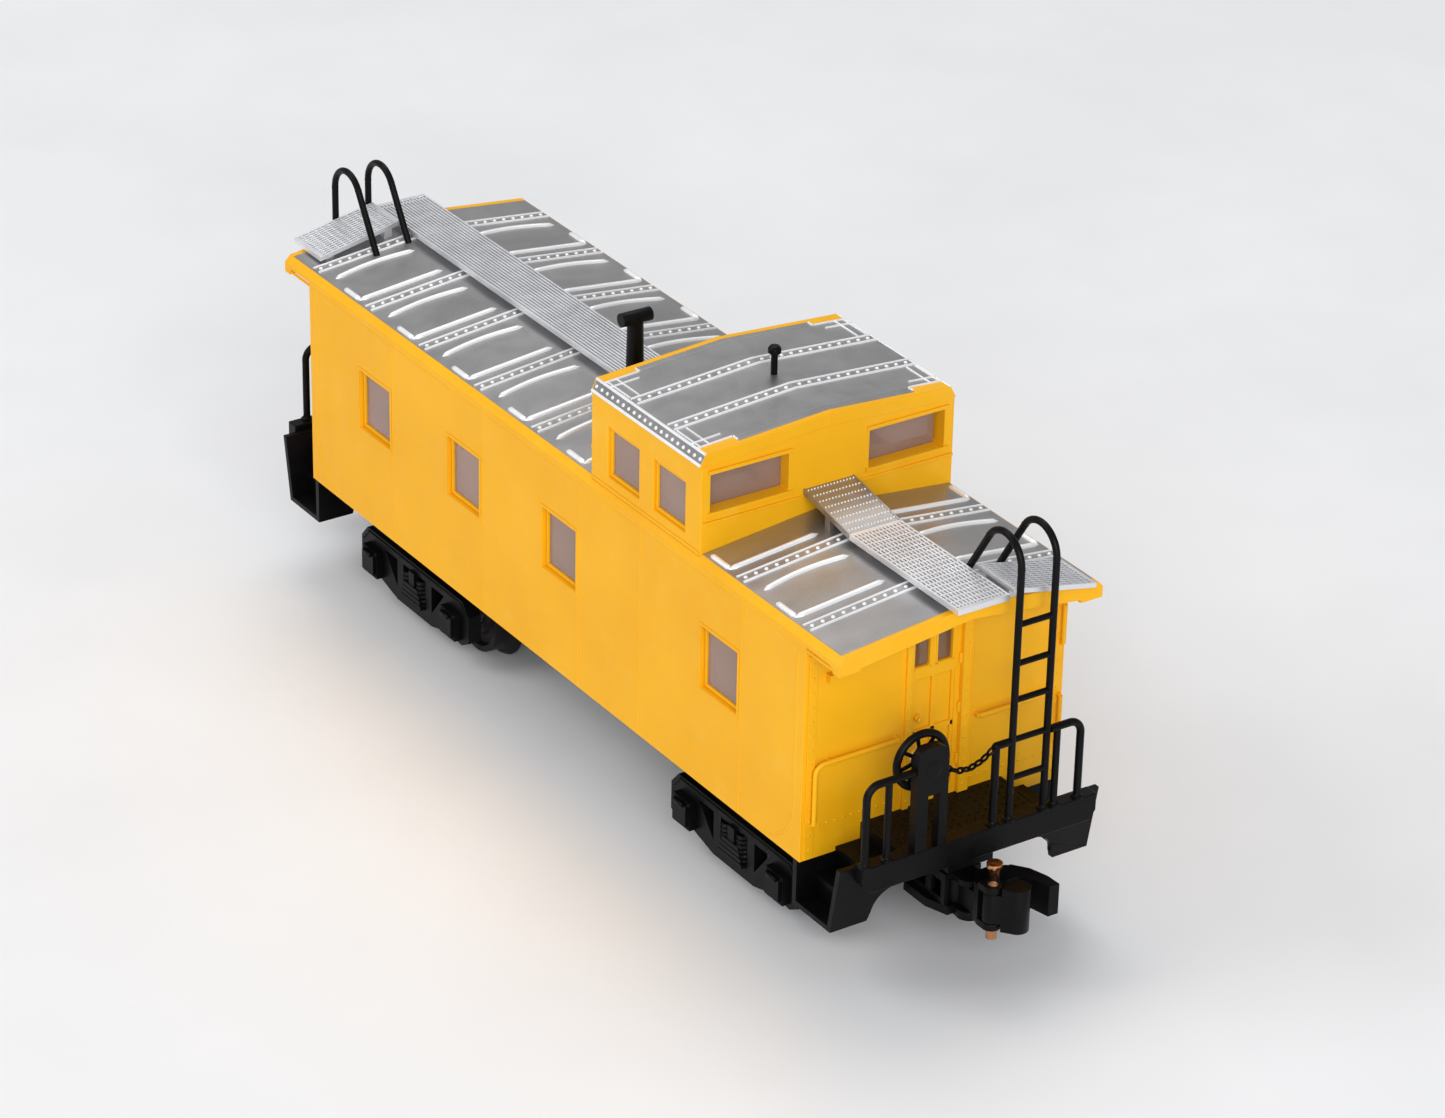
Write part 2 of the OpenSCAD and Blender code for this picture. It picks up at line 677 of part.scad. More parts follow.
module brake_stand(side) {
    x0 = beam_x - 0.7;
    x1 = beam_x - 0.02;
    y0 = stand_y - stand_w / 2;
    y1 = stand_y + stand_w / 2;
    color(BLACK) at_end(side) difference() {
        union() {
            block([x0, y0, beam_z1], [x1, y1, stand_z1 - 0.8]);
            along_x(x0, x1) hull() {
                translate([y0 + 0.8, stand_z1 - 0.8]) circle(0.8);
                translate([y1 - 0.8, stand_z1 - 0.8]) circle(0.8);
            }
            rod_x([x0 - 0.25, stand_y, wheel_z], 0.3, 0.75);
        }
        // Slot between the stand's two legs
        block([x0 - 1, stand_y - 0.3, beam_z1 - 1], [x1 + 1, stand_y + 0.55, 13.6]);
        // Socket of the brake wheel's pin
        rod_x([x0 - 1, stand_y, wheel_z], 1.4, pin_r);
    }
}
module brake_stand_front() { brake_stand(1); }
module brake_stand_rear() { brake_stand(-1); }

module brake_wheel(side) {
    rim = 0.22;
    thick = 0.4;
    color(BLACK) at_end(side) translate([wheel_x, stand_y, wheel_z]) difference() {
        union() {
            rotate([0, 90, 0]) rotate_extrude() translate([brake_wheel_r - rim, 0]) circle(rim);
            rod_x([-thick / 2 - 0.1, 0, 0], thick + 0.15, 0.62);
            for (i = [0 : 7]) rotate([i * 45, 0, 0]) rod_y([0, 0, 0], brake_wheel_r - rim, 0.14);
        }
        rod_x([-2, 0, 0], 4, pin_r + RADIAL_FIT);
    }
}
module brake_wheel_front() { brake_wheel(1); }
module brake_wheel_rear() { brake_wheel(-1); }

module brake_wheel_pin(side) {
    color(STEEL) at_end(side) union() {
        rod_x([wheel_x - 0.35, stand_y, wheel_z], beam_x - 0.3 - wheel_x + 0.35, pin_r);
        rod_x([wheel_x - 0.6, stand_y, wheel_z], 0.25, 0.5);
    }
}
module brake_wheel_pin_front() { brake_wheel_pin(1); }
module brake_wheel_pin_rear() { brake_wheel_pin(-1); }

// ---------------------------------------------------------------- trucks

half_base = wheelbase / 2;

// Outline of a side frame in X and Z about the truck's centre
module side_frame_outline() {
    difference() {
        polygon([[-7.2, 2.4], [-7.2, 4.4], [-6.4, 5.3], [6.4, 5.3], [7.2, 4.4], [7.2, 2.4], [6.3, 1.9],
                 [4.6, 2.1], [2.3, 1.5], [-2.3, 1.5], [-4.6, 2.1], [-6.3, 1.9]]);
        // Triangular windows beside the spring
        for (side = [-1, 1])
            polygon([[side * 4.0, 4.6], [side * 2.3, 4.6], [side * 2.3, 2.5]]);
        // Spring opening
        translate([-1.5, 2.3]) square([3, 2.3]);
    }
}

module side_frame() {
    along_y(side_frame_y, side_frame_y + side_frame_t) side_frame_outline();
    for (side = [-1, 1]) {
        // Journal box and its lid
        block([side * half_base - 0.95, side_frame_y, axle_z - 0.95],
              [side * half_base + 0.95, side_frame_y + 1.5, axle_z + 1.05]);
        block([side * half_base - 0.75, side_frame_y + 1.5, axle_z - 0.7],
              [side * half_base + 0.75, side_frame_y + 1.7, axle_z + 0.8]);
    }
    // Spring pack between the bolster's end and the spring seat
    for (i = [0 : 3])
        block([-1.3 + i * 0.12, side_frame_y + 0.2, 2.3 + i * 0.36], [1.3 - i * 0.12, side_frame_y + 1.3, 2.58 + i * 0.36]);
    block([-0.35, side_frame_y + 0.1, 2.2], [0.35, side_frame_y + 1.25, 4.7]);
}

// Draft box that the truck carries: open below, with a window in each wall
module draft_box() {
    difference() {
        union() {
            block([box_x0, -box_half, box_z0], [box_x1, box_half, box_z1]);
            rod_z([box_nose_x, 0, box_z1 - box_roof_t], box_roof_t, box_nose_r);
            block([box_x1 - 0.1, -0.8, box_z1 - box_roof_t], [box_nose_x, 0.8, box_z1]);
        }
        block([box_x0 + box_wall, -box_half + box_wall, box_z0 - 1],
              [box_x1 + 2, box_half - box_wall, box_z1 - box_roof_t]);
        for (x = [box_x0 + 0.7, box_x0 + 2.3])
            block([x, -box_half - 1, box_z0 + 0.4], [x + 1.0, box_half + 1, box_z1 - 0.6]);
    }
    rod_z([post_x, 0, box_z0], box_z1 - box_z0 - 0.1, post_r);
}

module truck_frame(side) {
    color(BLACK) at_end(side) difference() {
        union() {
            translate([truck_x, 0, 0]) {
                side_frame();
                mirror([0, 1, 0]) side_frame();
                // Bolster, stepped down at its ends
                block([-1.4, -5.2, bolster_bottom_z], [1.4, 5.2, bolster_top_z]);
                block([-1.4, -side_frame_y - 0.2, 4.6], [1.4, side_frame_y + 0.2, 5.9]);
                // Tongue over the outer axle
                block([0, -1.2, bolster_bottom_z], [box_x0 - truck_x + 0.1, 1.2, 6.2]);
            }
            draft_box();
        }
        // Kingpin hole, with room for the pin's head
        rod_z([truck_x, 0, 0], 10, kingpin_r + RADIAL_FIT);
        rod_z([truck_x, 0, 3], 2.3, 1.75);
        // Bearings of the axles' pointed ends
        for (a = [-1, 1]) translate([truck_x + a * half_base, 0, axle_z]) bearing_cut();
    }
}

// The space of one axle's pointed ends, a little wider than the axle itself
module bearing_cut() {
    for (hand = [0, 1]) mirror([0, hand, 0])
        rotate([-90, 0, 0]) rotate_extrude()
            polygon([[0, 6.0], [axle_r + 0.35, 6.0], [axle_r + 0.2, side_frame_y - 0.05], [0.12, axle_tip_y + 0.12],
                     [0, axle_tip_y + 0.12]]);
}
module truck_frame_front() { truck_frame(1); }
module truck_frame_rear() { truck_frame(-1); }

module kingpin(side) {
    color(BLACK) at_end(side) union() {
        rod_z([truck_x, 0, 4.4], floor_z + floor_t - 4.4, kingpin_r);
        rod_z([truck_x, 0, 4.35], 0.9, 1.6);
    }
}
module kingpin_front() { kingpin(1); }
module kingpin_rear() { kingpin(-1); }

function wheel_set_x(i) = [truck_x + half_base, truck_x - half_base, -truck_x + half_base, -truck_x - half_base][i - 1];

module axle(i) {
    color(STEEL) translate([wheel_set_x(i), 0, axle_z]) rotate([-90, 0, 0]) rotate_extrude()
        polygon([[0, -axle_tip_y], [0.05, -axle_tip_y], [axle_r, -6.3], [axle_r, 6.3], [0.05, axle_tip_y],
                 [0, axle_tip_y]]);
}

// One wheel of a pair, bored for the axle, with its flange inward
module wheel_profile() {
    inner = back_to_back / 2;
    tread = tread_d / 2;
    polygon([[axle_r, inner + 0.1], [1.3, inner + 0.1], [1.5, inner + 0.35], [2.0, inner + 0.35], [2.1, inner],
             [tread + flange_h - 0.15, inner], [tread + flange_h, inner + 0.2], [tread + flange_h - 0.12, inner + 0.42],
             [tread + 0.08, inner + 0.62], [tread, inner + 0.8], [tread - 0.06, inner + wheel_w],
             [2.15, inner + wheel_w], [2.0, inner + wheel_w - 0.4], [1.4, inner + wheel_w - 0.35],
             [1.2, inner + wheel_w], [axle_r, inner + wheel_w]]);
}

module wheels(i) {
    color(BLACK) translate([wheel_set_x(i), 0, axle_z])
        for (hand = [0, 1]) mirror([0, hand, 0]) rotate([-90, 0, 0]) rotate_extrude($fn = 64) wheel_profile();
}

module axle_1() { axle(1); }
module axle_2() { axle(2); }
module axle_3() { axle(3); }
module axle_4() { axle(4); }
module wheels_1() { wheels(1); }
module wheels_2() { wheels(2); }
module wheels_3() { wheels(3); }
module wheels_4() { wheels(4); }

// ---------------------------------------------------------------- couplers

// Lid that closes the draft box from below: wider than the box, with a round nose
module coupler_cover(side) {
    color(BLACK) at_end(side) translate([0, 0, box_z0 - cover_t]) linear_extrude(cover_t) union() {
        polygon([[box_x0, -cover_half], [32.2, -cover_half], [box_x1 + 0.2, -box_half + 0.15],
                 [box_x1 + 0.2, box_half - 0.15], [32.2, cover_half], [box_x0, cover_half]]);
        translate([box_x1, -0.8]) square([box_nose_x - box_x1, 1.6]);
        translate([box_nose_x, 0]) circle(box_nose_r);
    }
}
module coupler_cover_front() { coupler_cover(1); }
module coupler_cover_rear() { coupler_cover(-1); }

shank_z0 = box_z0 + 0.12;
shank_z1 = box_z1 - box_roof_t - 0.12;

// Outlines from above of the head's middle, and of its guard arm
module head_outline() {
    polygon([[35.4, -0.5], [36.3, -1.2], [knuckle_at[0] - 0.65, -1.35], [knuckle_at[0] - 0.65, -0.13], [37.25, 0.05],
             [37.3, 0.9], [37.4, 1.4], [36.2, 2.0], [35.8, 1.5], [35.4, 0.5]]);
}
module arm_outline() {
    polygon([[36.4, 0.6], [37.25, 0.6], [37.4, 1.4], [38.0, 1.95], [coupler_reach, 2.25], [coupler_reach, 3.0],
             [38.2, 2.95], [36.9, 2.55], [35.9, 1.8]]);
}

module coupler(side) {
    color(BLACK) at_end(side) difference() {
        union() {
            // Shank with its eye on the post and its tail against the spring
            rod_z([post_x, 0, shank_z0], shank_z1 - shank_z0, eye_r);
            block([post_x, -0.5, shank_z0], [36.0, 0.5, shank_z1]);
            block([post_x - tail_len, -0.45, shank_z0], [post_x, 0.45, shank_z1]);
            translate([0, 0, head_z0]) linear_extrude(arm_z1 - head_z0) head_outline();
            translate([0, 0, arm_z0]) linear_extrude(arm_z1 - arm_z0) arm_outline();
            // Lugs above and below the knuckle's barrel
            for (z = [head_z0, head_z1 - lug_t]) {
                rod_z([knuckle_at[0], knuckle_at[1], z], lug_t, lug_r);
                block([knuckle_at[0] - 0.7, knuckle_at[1] - lug_r, z], [knuckle_at[0], knuckle_at[1] + lug_r, z + lug_t]);
            }
        }
        rod_z([post_x, 0, 0], 10, post_r + 0.07);
        // Room for the barrel between the lugs
        rod_z([knuckle_at[0], knuckle_at[1], head_z0 + lug_t], head_z1 - head_z0 - 2 * lug_t, barrel_room);
        rod_z([knuckle_at[0], knuckle_at[1], 0], 12, pin_r);
        rod_z([trip_x, 0, 0], 12, trip_d / 2);
    }
}
module coupler_front() { coupler(1); }
module coupler_rear() { coupler(-1); }

// Knuckle: barrel on the pin, and a full-height nose that hooks inward
module knuckle(side) {
    link_z0 = head_z0 + lug_t + 0.05;
    link_h = head_z1 - head_z0 - 2 * lug_t - 0.1;
    color(BLACK) at_end(side) difference() {
        union() {
            rod_z([knuckle_at[0], knuckle_at[1], link_z0], link_h, barrel_r);
            translate([0, 0, link_z0]) linear_extrude(link_h)
                polygon([knuckle_at + nose_side * 0.55, nose_at + nose_side * 0.6,
                         nose_at - nose_side * 0.6, knuckle_at - nose_side * 0.55]);
            difference() {
                union() {
                    rod_z([nose_at[0], nose_at[1], head_z0], head_z1 - head_z0, nose_r);
                    translate([0, 0, head_z0]) linear_extrude(head_z1 - head_z0)
                        polygon([knuckle_at + nose_dir * 0.6 + nose_side * barrel_r, nose_at + nose_side * nose_r,
                                 nose_at - nose_side * 0.6, knuckle_at + nose_dir * 0.6 - nose_side * 0.2]);
                }
                rod_z([knuckle_at[0], knuckle_at[1], 0], 12, barrel_room + 0.02);
            }
        }
        rod_z([knuckle_at[0], knuckle_at[1], 0], 12, pin_r + RADIAL_FIT);
    }
}
module knuckle_front() { knuckle(1); }
module knuckle_rear() { knuckle(-1); }

module knuckle_pin(side) {
    color(STEEL) at_end(side) rod_z([knuckle_at[0], knuckle_at[1], head_z0], head_z1 - head_z0, pin_r);
}
module knuckle_pin_front() { knuckle_pin(1); }
module knuckle_pin_rear() { knuckle_pin(-1); }

module trip_pin(side) {
    color(COPPER) at_end(side) union() {
        rod_z([trip_x, 0, 3.1], 8.4 - 3.1, trip_d / 2);
        rod_z([trip_x, 0, 8.1], 0.3, 0.5);
    }
}
module trip_pin_front() { trip_pin(1); }
module trip_pin_rear() { trip_pin(-1); }

// Centring spring: a small coil behind the shank's tail
spring_turns = 4;
spring_r = 0.42;
spring_wire = 0.09;
wire_gap = 0.1;
spring_x0 = box_x0 + box_wall + wire_gap;
spring_len = post_x - tail_len - wire_gap - spring_x0;
spring_sides = 6;
spring_rings = 60;
function spring_ring(i) =
    let (t = i / spring_rings, a = 360 * spring_turns * t,
         c = [spring_x0 + spring_wire + t * (spring_len - 2 * spring_wire), spring_r * cos(a), spring_r * sin(a)])
    [for (k = [0 : spring_sides - 1]) let (b = 360 * k / spring_sides)
        c + [spring_wire * sin(b), spring_wire * cos(b) * cos(a), spring_wire * cos(b) * sin(a)]];

module coupler_spring(side) {
    rings = [for (i = [0 : spring_rings]) spring_ring(i)];
    points = [for (ring = rings) each ring];
    last = spring_rings * spring_sides;
    walls = [for (i = [0 : spring_rings - 1]) for (k = [0 : spring_sides - 1])
        let (n = (k + 1) % spring_sides, p = i * spring_sides)
        [p + k, p + n, p + spring_sides + n, p + spring_sides + k]];
    caps = [[for (k = [spring_sides - 1 : -1 : 0]) k], [for (k = [0 : spring_sides - 1]) last + k]];
    color(STEEL) at_end(side) translate([0, 0, (shank_z0 + shank_z1) / 2])
        polyhedron(points = points, faces = concat(walls, caps), convexity = 6);
}
module coupler_spring_front() { coupler_spring(1); }
module coupler_spring_rear() { coupler_spring(-1); }

// ---------------------------------------------------------------- drawing

body_shell();
roof_rear();
roof_front();
cupola_shell();
cupola_roof();
running_board_rear();
running_board_front();
lateral_board_rear();
lateral_board_front();
smokejack();
cupola_vent();
side_glazing_left();
side_glazing_right();
cupola_glazing();
door_glazing();
ballast_weight();
underframe();
brake_cylinder();
air_reservoir();
end_platform_front();
end_platform_rear();
steps_front();
steps_rear();
end_railing_front();
end_railing_rear();
gate_chain_front();
gate_chain_rear();
ladder_front();
ladder_rear();
brake_stand_front();
brake_stand_rear();
brake_wheel_front();
brake_wheel_rear();
brake_wheel_pin_front();
brake_wheel_pin_rear();
truck_frame_front();
truck_frame_rear();
kingpin_front();
kingpin_rear();
axle_1();
axle_2();
axle_3();
axle_4();
wheels_1();
wheels_2();
wheels_3();
wheels_4();
coupler_cover_front();
coupler_cover_rear();
coupler_front();
coupler_rear();
coupler_spring_front();
coupler_spring_rear();
knuckle_front();
knuckle_rear();
knuckle_pin_front();
knuckle_pin_rear();
trip_pin_front();
trip_pin_rear();
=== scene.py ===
"""Looks for the model caboose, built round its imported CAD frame.

Shapes are drawn in millimetres, in the CAD's own frame, and made into pieces in metres.
The end with the short roof is at +X, and the far end repeats it turned half a turn about Z.
"""

import math

import bmesh
import bpy
from mathutils import Matrix, Vector


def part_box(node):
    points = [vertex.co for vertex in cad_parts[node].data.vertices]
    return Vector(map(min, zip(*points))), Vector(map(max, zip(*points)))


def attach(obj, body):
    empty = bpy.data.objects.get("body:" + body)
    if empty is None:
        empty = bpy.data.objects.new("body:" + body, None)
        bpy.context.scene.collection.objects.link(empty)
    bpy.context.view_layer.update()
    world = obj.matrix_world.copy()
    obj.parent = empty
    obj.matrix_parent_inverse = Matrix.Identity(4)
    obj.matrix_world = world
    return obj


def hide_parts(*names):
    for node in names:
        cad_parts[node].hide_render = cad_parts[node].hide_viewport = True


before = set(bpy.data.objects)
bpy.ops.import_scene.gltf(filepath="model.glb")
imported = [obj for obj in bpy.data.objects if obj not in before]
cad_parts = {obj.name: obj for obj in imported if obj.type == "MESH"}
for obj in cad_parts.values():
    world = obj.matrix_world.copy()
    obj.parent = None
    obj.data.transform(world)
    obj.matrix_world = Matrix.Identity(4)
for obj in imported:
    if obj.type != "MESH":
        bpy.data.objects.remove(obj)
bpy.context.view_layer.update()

MM = 0.001
ENDS = ((1, "front"), (-1, "rear"))


def box_of(node):
    """Low and high corners of a CAD node, in millimetres."""
    low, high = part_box(node)
    return low / MM, high / MM


BODY_LOW, BODY_HIGH = box_of("body_shell")
CUPOLA_LOW, CUPOLA_HIGH = box_of("cupola_shell")
CUPOLA_ROOF_LOW, CUPOLA_ROOF_HIGH = box_of("cupola_roof")
ROOF_LOW, ROOF_HIGH = box_of("roof_rear")
PLATFORM_LOW, PLATFORM_HIGH = box_of("end_platform_front")
BOARD_HIGH = box_of("running_board_front")[1]
STAND_LOW, STAND_HIGH = box_of("brake_stand_front")
WHEEL_LOW, WHEEL_HIGH = box_of("brake_wheel_front")

# Body
BODY_HALF_W = BODY_HIGH.y
BODY_FOOT = BODY_LOW.z
END_WALL_X = PLATFORM_LOW.x
DECK_Z = 9.5

# Roof: two slopes from the ridge down to the eaves
ROOF_HALF_W = ROOF_HIGH.y
ROOF_END_X = -ROOF_LOW.x
EAVE_END_X = BODY_HIGH.x
ROOF_T = 0.6
RIDGE_Z = 24.6
EAVE_Z = 23.6
ROOF_RISE_W = 9.25
ROOF_SLOPE = (RIDGE_Z - EAVE_Z) / ROOF_RISE_W
SEAM_PITCH = 7.1
REAR_SEAMS = [-END_WALL_X + i * SEAM_PITCH for i in range(5)]
FRONT_SEAMS = [END_WALL_X - 0.8 - SEAM_PITCH, END_WALL_X - 0.8]
# Beads of a panel: how far each lies from the panel's seam, and where both start from the ridge
LEFT_BEAD = 1.9
RIGHT_BEAD = 1.45
BEAD_TOP_Y = 2.5
# Riveted strips over the seams
STRIP_HALF_W = 0.42
STRIP_RIM_X = 0.38

# Cupola: a nearly flat sheet out to the shoulders, then a steep band down to the lips
CUPOLA_RIDGE_Z = 30.9
CUPOLA_LIP_Y = CUPOLA_ROOF_HIGH.y
CUPOLA_LIP_Z = CUPOLA_ROOF_LOW.z
SHOULDER_Y = CUPOLA_LIP_Y - 0.45
SHOULDER_Z = CUPOLA_LIP_Z + 0.8
CUPOLA_SLOPE = (CUPOLA_RIDGE_Z - SHOULDER_Z) / SHOULDER_Y
CUPOLA_NOTCH_Y = 6.5
CUPOLA_WALL_T = 0.9
FASCIA_H = 0.85


# ---------------------------------------------------------------- mesh building


# A bead's tips keep this share of its size, and its foot is sunk this far below the surface
TIP_SHARE = 0.12
BEAD_SINK = 0.1


def direction(path, i):
    """The direction of a path at its point i."""
    return (path[min(i + 1, len(path) - 1)] - path[max(i - 1, 0)]).normalized()


def circle(centre, across, other, radius, sides):
    """Points round a circle in the plane of two unit vectors."""
    turns = [2 * math.pi * k / sides for k in range(sides)]
    return [centre + (across * math.cos(a) + other * math.sin(a)) * radius for a in turns]


def bead_share(near_end, taper):
    """A bead's share of its full size, at a distance from its nearer end."""
    if taper <= 0 or near_end >= taper:
        return 1.0
    return max(TIP_SHARE, math.sqrt(max(0.0, 1 - (1 - near_end / taper) ** 2)))


class Shape:
    """A mesh gathered part by part in millimetres, made into one piece at the end."""

    def __init__(self):
        self.verts = []
        self.faces = []

    def add(self, verts, faces):
        start = len(self.verts)
        self.verts.extend(Vector(v) for v in verts)
        self.faces.extend([start + i for i in face] for face in faces)

    def prism(self, outline, offset):
        """A solid between an outline and its copy moved by offset."""
        n = len(outline)
        low = [Vector(p) for p in outline]
        high = [p + Vector(offset) for p in low]
        walls = [[i, (i + 1) % n, n + (i + 1) % n, n + i] for i in range(n)]
        self.add(low + high, [list(range(n)), list(range(n, 2 * n))] + walls)

    def block(self, low, high):
        (x0, y0, z0), (x1, y1, z1) = low, high
        self.prism([(x0, y0, z0), (x1, y0, z0), (x1, y1, z0), (x0, y1, z0)], (0, 0, z1 - z0))

    def along_x(self, outline, x0, x1):
        """A (y, z) outline extruded along X."""
        self.prism([(x0, y, z) for y, z in outline], (x1 - x0, 0, 0))

    def rings(self, rings, closed=True):
        """A skin over rings of points, capped at both ends."""
        n = len(rings[0])
        verts = [p for ring in rings for p in ring]
        faces = []
        for i in range(len(rings) - 1):
            for k in range(n):
                a, b = i * n + k, i * n + (k + 1) % n
                faces.append([a, b, b + n, a + n])
        if closed:
            last = (len(rings) - 1) * n
            faces += [list(range(n)), list(range(last, last + n))]
        self.add(verts, faces)

    def tube(self, path, radius, sides=10):
        """A round rod through a list of points."""
        path = [Vector(p) for p in path]
        across = direction(path, 0).orthogonal().normalized()
        rings = []
        for i, p in enumerate(path):
            t = direction(path, i)
            across = (across - t * across.dot(t)).normalized()
            rings.append(circle(p, across, t.cross(across), radius, sides))
        self.rings(rings)

    def lathe(self, centre, axis, profile, sides=16):
        """A turned solid: profile is (radius, distance along the axis)."""
        centre, axis = Vector(centre), Vector(axis).normalized()
        across = axis.orthogonal().normalized()
        other = axis.cross(across)
        self.rings([circle(centre + axis * h, across, other, r, sides) for r, h in profile])

    def rivet(self, centre, normal, radius, height, sides=8):
        """A small dome head, its base sunk a little."""
        profile = [(radius, -height * 0.4), (radius, 0.1 * height)]
        profile += [(radius * 0.8, height * 0.65), (radius * 0.35, height)]
        self.lathe(centre, normal, profile, sides)

    def ridge(self, path, normal, half_width, height, taper=0.0, arc=6):
        """A half-round bead along a path on a surface. Its ends run down to nothing over the length taper."""
        path = [Vector(p) for p in path]
        normal = Vector(normal).normalized()
        length = [0.0]
        for a, b in zip(path, path[1:]):
            length.append(length[-1] + (b - a).length)
        rings = []
        for i, p in enumerate(path):
            side = direction(path, i).cross(normal).normalized()
            share = bead_share(min(length[i], length[-1] - length[i]), taper)
            turns = [math.pi * k / arc for k in range(arc + 1)]
            top = [p + side * math.cos(a) * half_width * share + normal * math.sin(a) * height * share
                   for a in turns]
            foot = [p + side * edge * half_width * share - normal * BEAD_SINK for edge in (-1, 1)]
            rings.append(top + foot)
        self.rings(rings)

    def frame_ring(self, low, high, width, y0, y1):
        """A rectangular ring in the XZ plane between y0 and y1: low and high are its outer (x, z) corners."""
        (x0, z0), (x1, z1) = low, high
        self.block((x0, y0, z0), (x1, y1, z0 + width))
        self.block((x0, y0, z1 - width), (x1, y1, z1))
        self.block((x0, y0, z0 + width), (x0 + width, y1, z1 - width))
        self.block((x1 - width, y0, z0 + width), (x1, y1, z1 - width))

    def at_end(self, side):
        """Turned half a turn about Z for the far end."""
        if side < 0:
            self.verts = [Vector((-v.x, -v.y, v.z)) for v in self.verts]
        return self

    def make(self, name, body, material, slot, bevel=0.0, stands_for=()):
        mesh = bpy.data.meshes.new(name)
        mesh.from_pydata([v * MM for v in self.verts], [], self.faces)
        bm = bmesh.new()
        bm.from_mesh(mesh)
        bmesh.ops.recalc_face_normals(bm, faces=bm.faces)
        bm.to_mesh(mesh)
        bm.free()
        mesh.shade_smooth()
        mesh.set_sharp_from_angle(angle=math.radians(38))
        mesh.materials.append(material)
        piece = bpy.data.objects.new(name, mesh)
        bpy.context.scene.collection.objects.link(piece)
        if bevel:
            add_bevel(piece, bevel)
        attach(piece, body)
        if stands_for:
            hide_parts(*stands_for)
        return piece


def add_bevel(piece, width):
    """Rounds a piece's sharp edges. The width is in millimetres."""
    bevel = piece.modifiers.new("edges", "BEVEL")
    bevel.width = width * MM
    bevel.segments = 2
    bevel.limit_method = "ANGLE"
    bevel.angle_limit = math.radians(38)
    bevel.use_clamp_overlap = True
    bevel.harden_normals = True


def arc_points(centre, radius, start, end, steps):
    """(u, v) points along an arc, with the angles in degrees."""
    turns = [math.radians(start + (end - start) * i / steps) for i in range(steps + 1)]
    return [(centre[0] + radius * math.cos(a), centre[1] + radius * math.sin(a)) for a in turns]


def even(low, high, pitch):
    """Evenly spaced values from low to high, near the pitch."""
    n = max(1, round((high - low) / pitch))
    return [low + (high - low) * i / n for i in range(n + 1)]


# ---------------------------------------------------------------- materials


class Surface:
    """A Principled material with its nodes added one by one."""

    def __init__(self, name, **sockets):
        self.material = bpy.data.materials.new(name)
        self.material.use_nodes = True
        self.nodes = self.material.node_tree.nodes
        self.links = self.material.node_tree.links
        self.shader = self.nodes["Principled BSDF"]
        self.place = self.nodes.new("ShaderNodeTexCoord").outputs["Object"]
        self.height = None
        for socket, value in sockets.items():
            self.shader.inputs[socket.replace("_", " ")].default_value = value

    def noise(self, per_mm, detail=3.0, stretch=(1, 1, 1), roughness=0.55):
        """Noise with about per_mm features in a millimetre, stretched along the axes."""
        mapping = self.nodes.new("ShaderNodeMapping")
        mapping.inputs["Scale"].default_value = [s for s in stretch]
        self.links.new(self.place, mapping.inputs["Vector"])
        noise = self.nodes.new("ShaderNodeTexNoise")
        noise.inputs["Scale"].default_value = per_mm / MM
        noise.inputs["Detail"].default_value = detail
        noise.inputs["Roughness"].default_value = roughness
        self.links.new(mapping.outputs["Vector"], noise.inputs["Vector"])
        return noise.outputs["Fac"]

    def spread(self, source, low, high, start=0.3, end=0.7):
        """source mapped from start..end to low..high."""
        node = self.nodes.new("ShaderNodeMapRange")
        node.inputs["From Min"].default_value = start
        node.inputs["From Max"].default_value = end
        node.inputs["To Min"].default_value = low
        node.inputs["To Max"].default_value = high
        self.links.new(source, node.inputs["Value"])
        return node.outputs["Result"]

    def tones(self, source, dark, light, start=0.35, end=0.65):
        """The base colour, moving between two tones with source."""
        ramp = self.nodes.new("ShaderNodeValToRGB")
        ramp.color_ramp.elements[0].position = start
        ramp.color_ramp.elements[0].color = (*dark, 1)
        ramp.color_ramp.elements[1].position = end
        ramp.color_ramp.elements[1].color = (*light, 1)
        self.links.new(source, ramp.inputs["Fac"])
        return ramp.outputs["Color"]

    def mix(self, factor, first, second):
        node = self.nodes.new("ShaderNodeMix")
        node.data_type = "RGBA"
        self.links.new(factor, node.inputs["Factor"])
        self.links.new(first, node.inputs["A"])
        if isinstance(second, tuple):
            node.inputs["B"].default_value = (*second, 1)
        else:
            self.links.new(second, node.inputs["B"])
        return node.outputs["Result"]

    def colour(self, source):
        self.links.new(source, self.shader.inputs["Base Color"])

    def roughness(self, source):
        self.links.new(source, self.shader.inputs["Roughness"])

    def bump(self, source, depth_mm, strength=1.0):
        """Adds a bump of that depth over the ones before it."""
        node = self.nodes.new("ShaderNodeBump")
        node.inputs["Strength"].default_value = strength
        node.inputs["Distance"].default_value = depth_mm * MM
        self.links.new(source, node.inputs["Height"])
        if self.height is not None:
            self.links.new(self.height, node.inputs["Normal"])
        self.height = node.outputs["Normal"]
        self.links.new(self.height, self.shader.inputs["Normal"])


def scaled(tone, share):
    """A tone made darker or lighter."""
    return tuple(c * share for c in tone)


def yellow_paint():
    """Satin yellow paint on moulded plastic: fine grain, a slow change of tone and paler rubbed patches."""
    s = Surface("yellow_paint", IOR=1.45, Specular_IOR_Level=0.3)
    base = s.tones(s.noise(0.12, 4), (0.88, 0.425, 0.004), (0.93, 0.465, 0.006))
    specks = s.spread(s.noise(9, 2), 0, 0.10, 0.55, 0.75)
    grained = s.mix(specks, base, (0.70, 0.30, 0.004))
    s.colour(s.mix(s.spread(s.noise(0.35, 5), 0, 0.16, 0.56, 0.72), grained, (0.95, 0.60, 0.08)))
    s.roughness(s.spread(s.noise(0.8, 3), 0.44, 0.56))
    s.bump(s.noise(0.5, 2), 0.012, 0.3)
    s.bump(s.noise(14, 2), 0.003, 0.4)
    return s.material


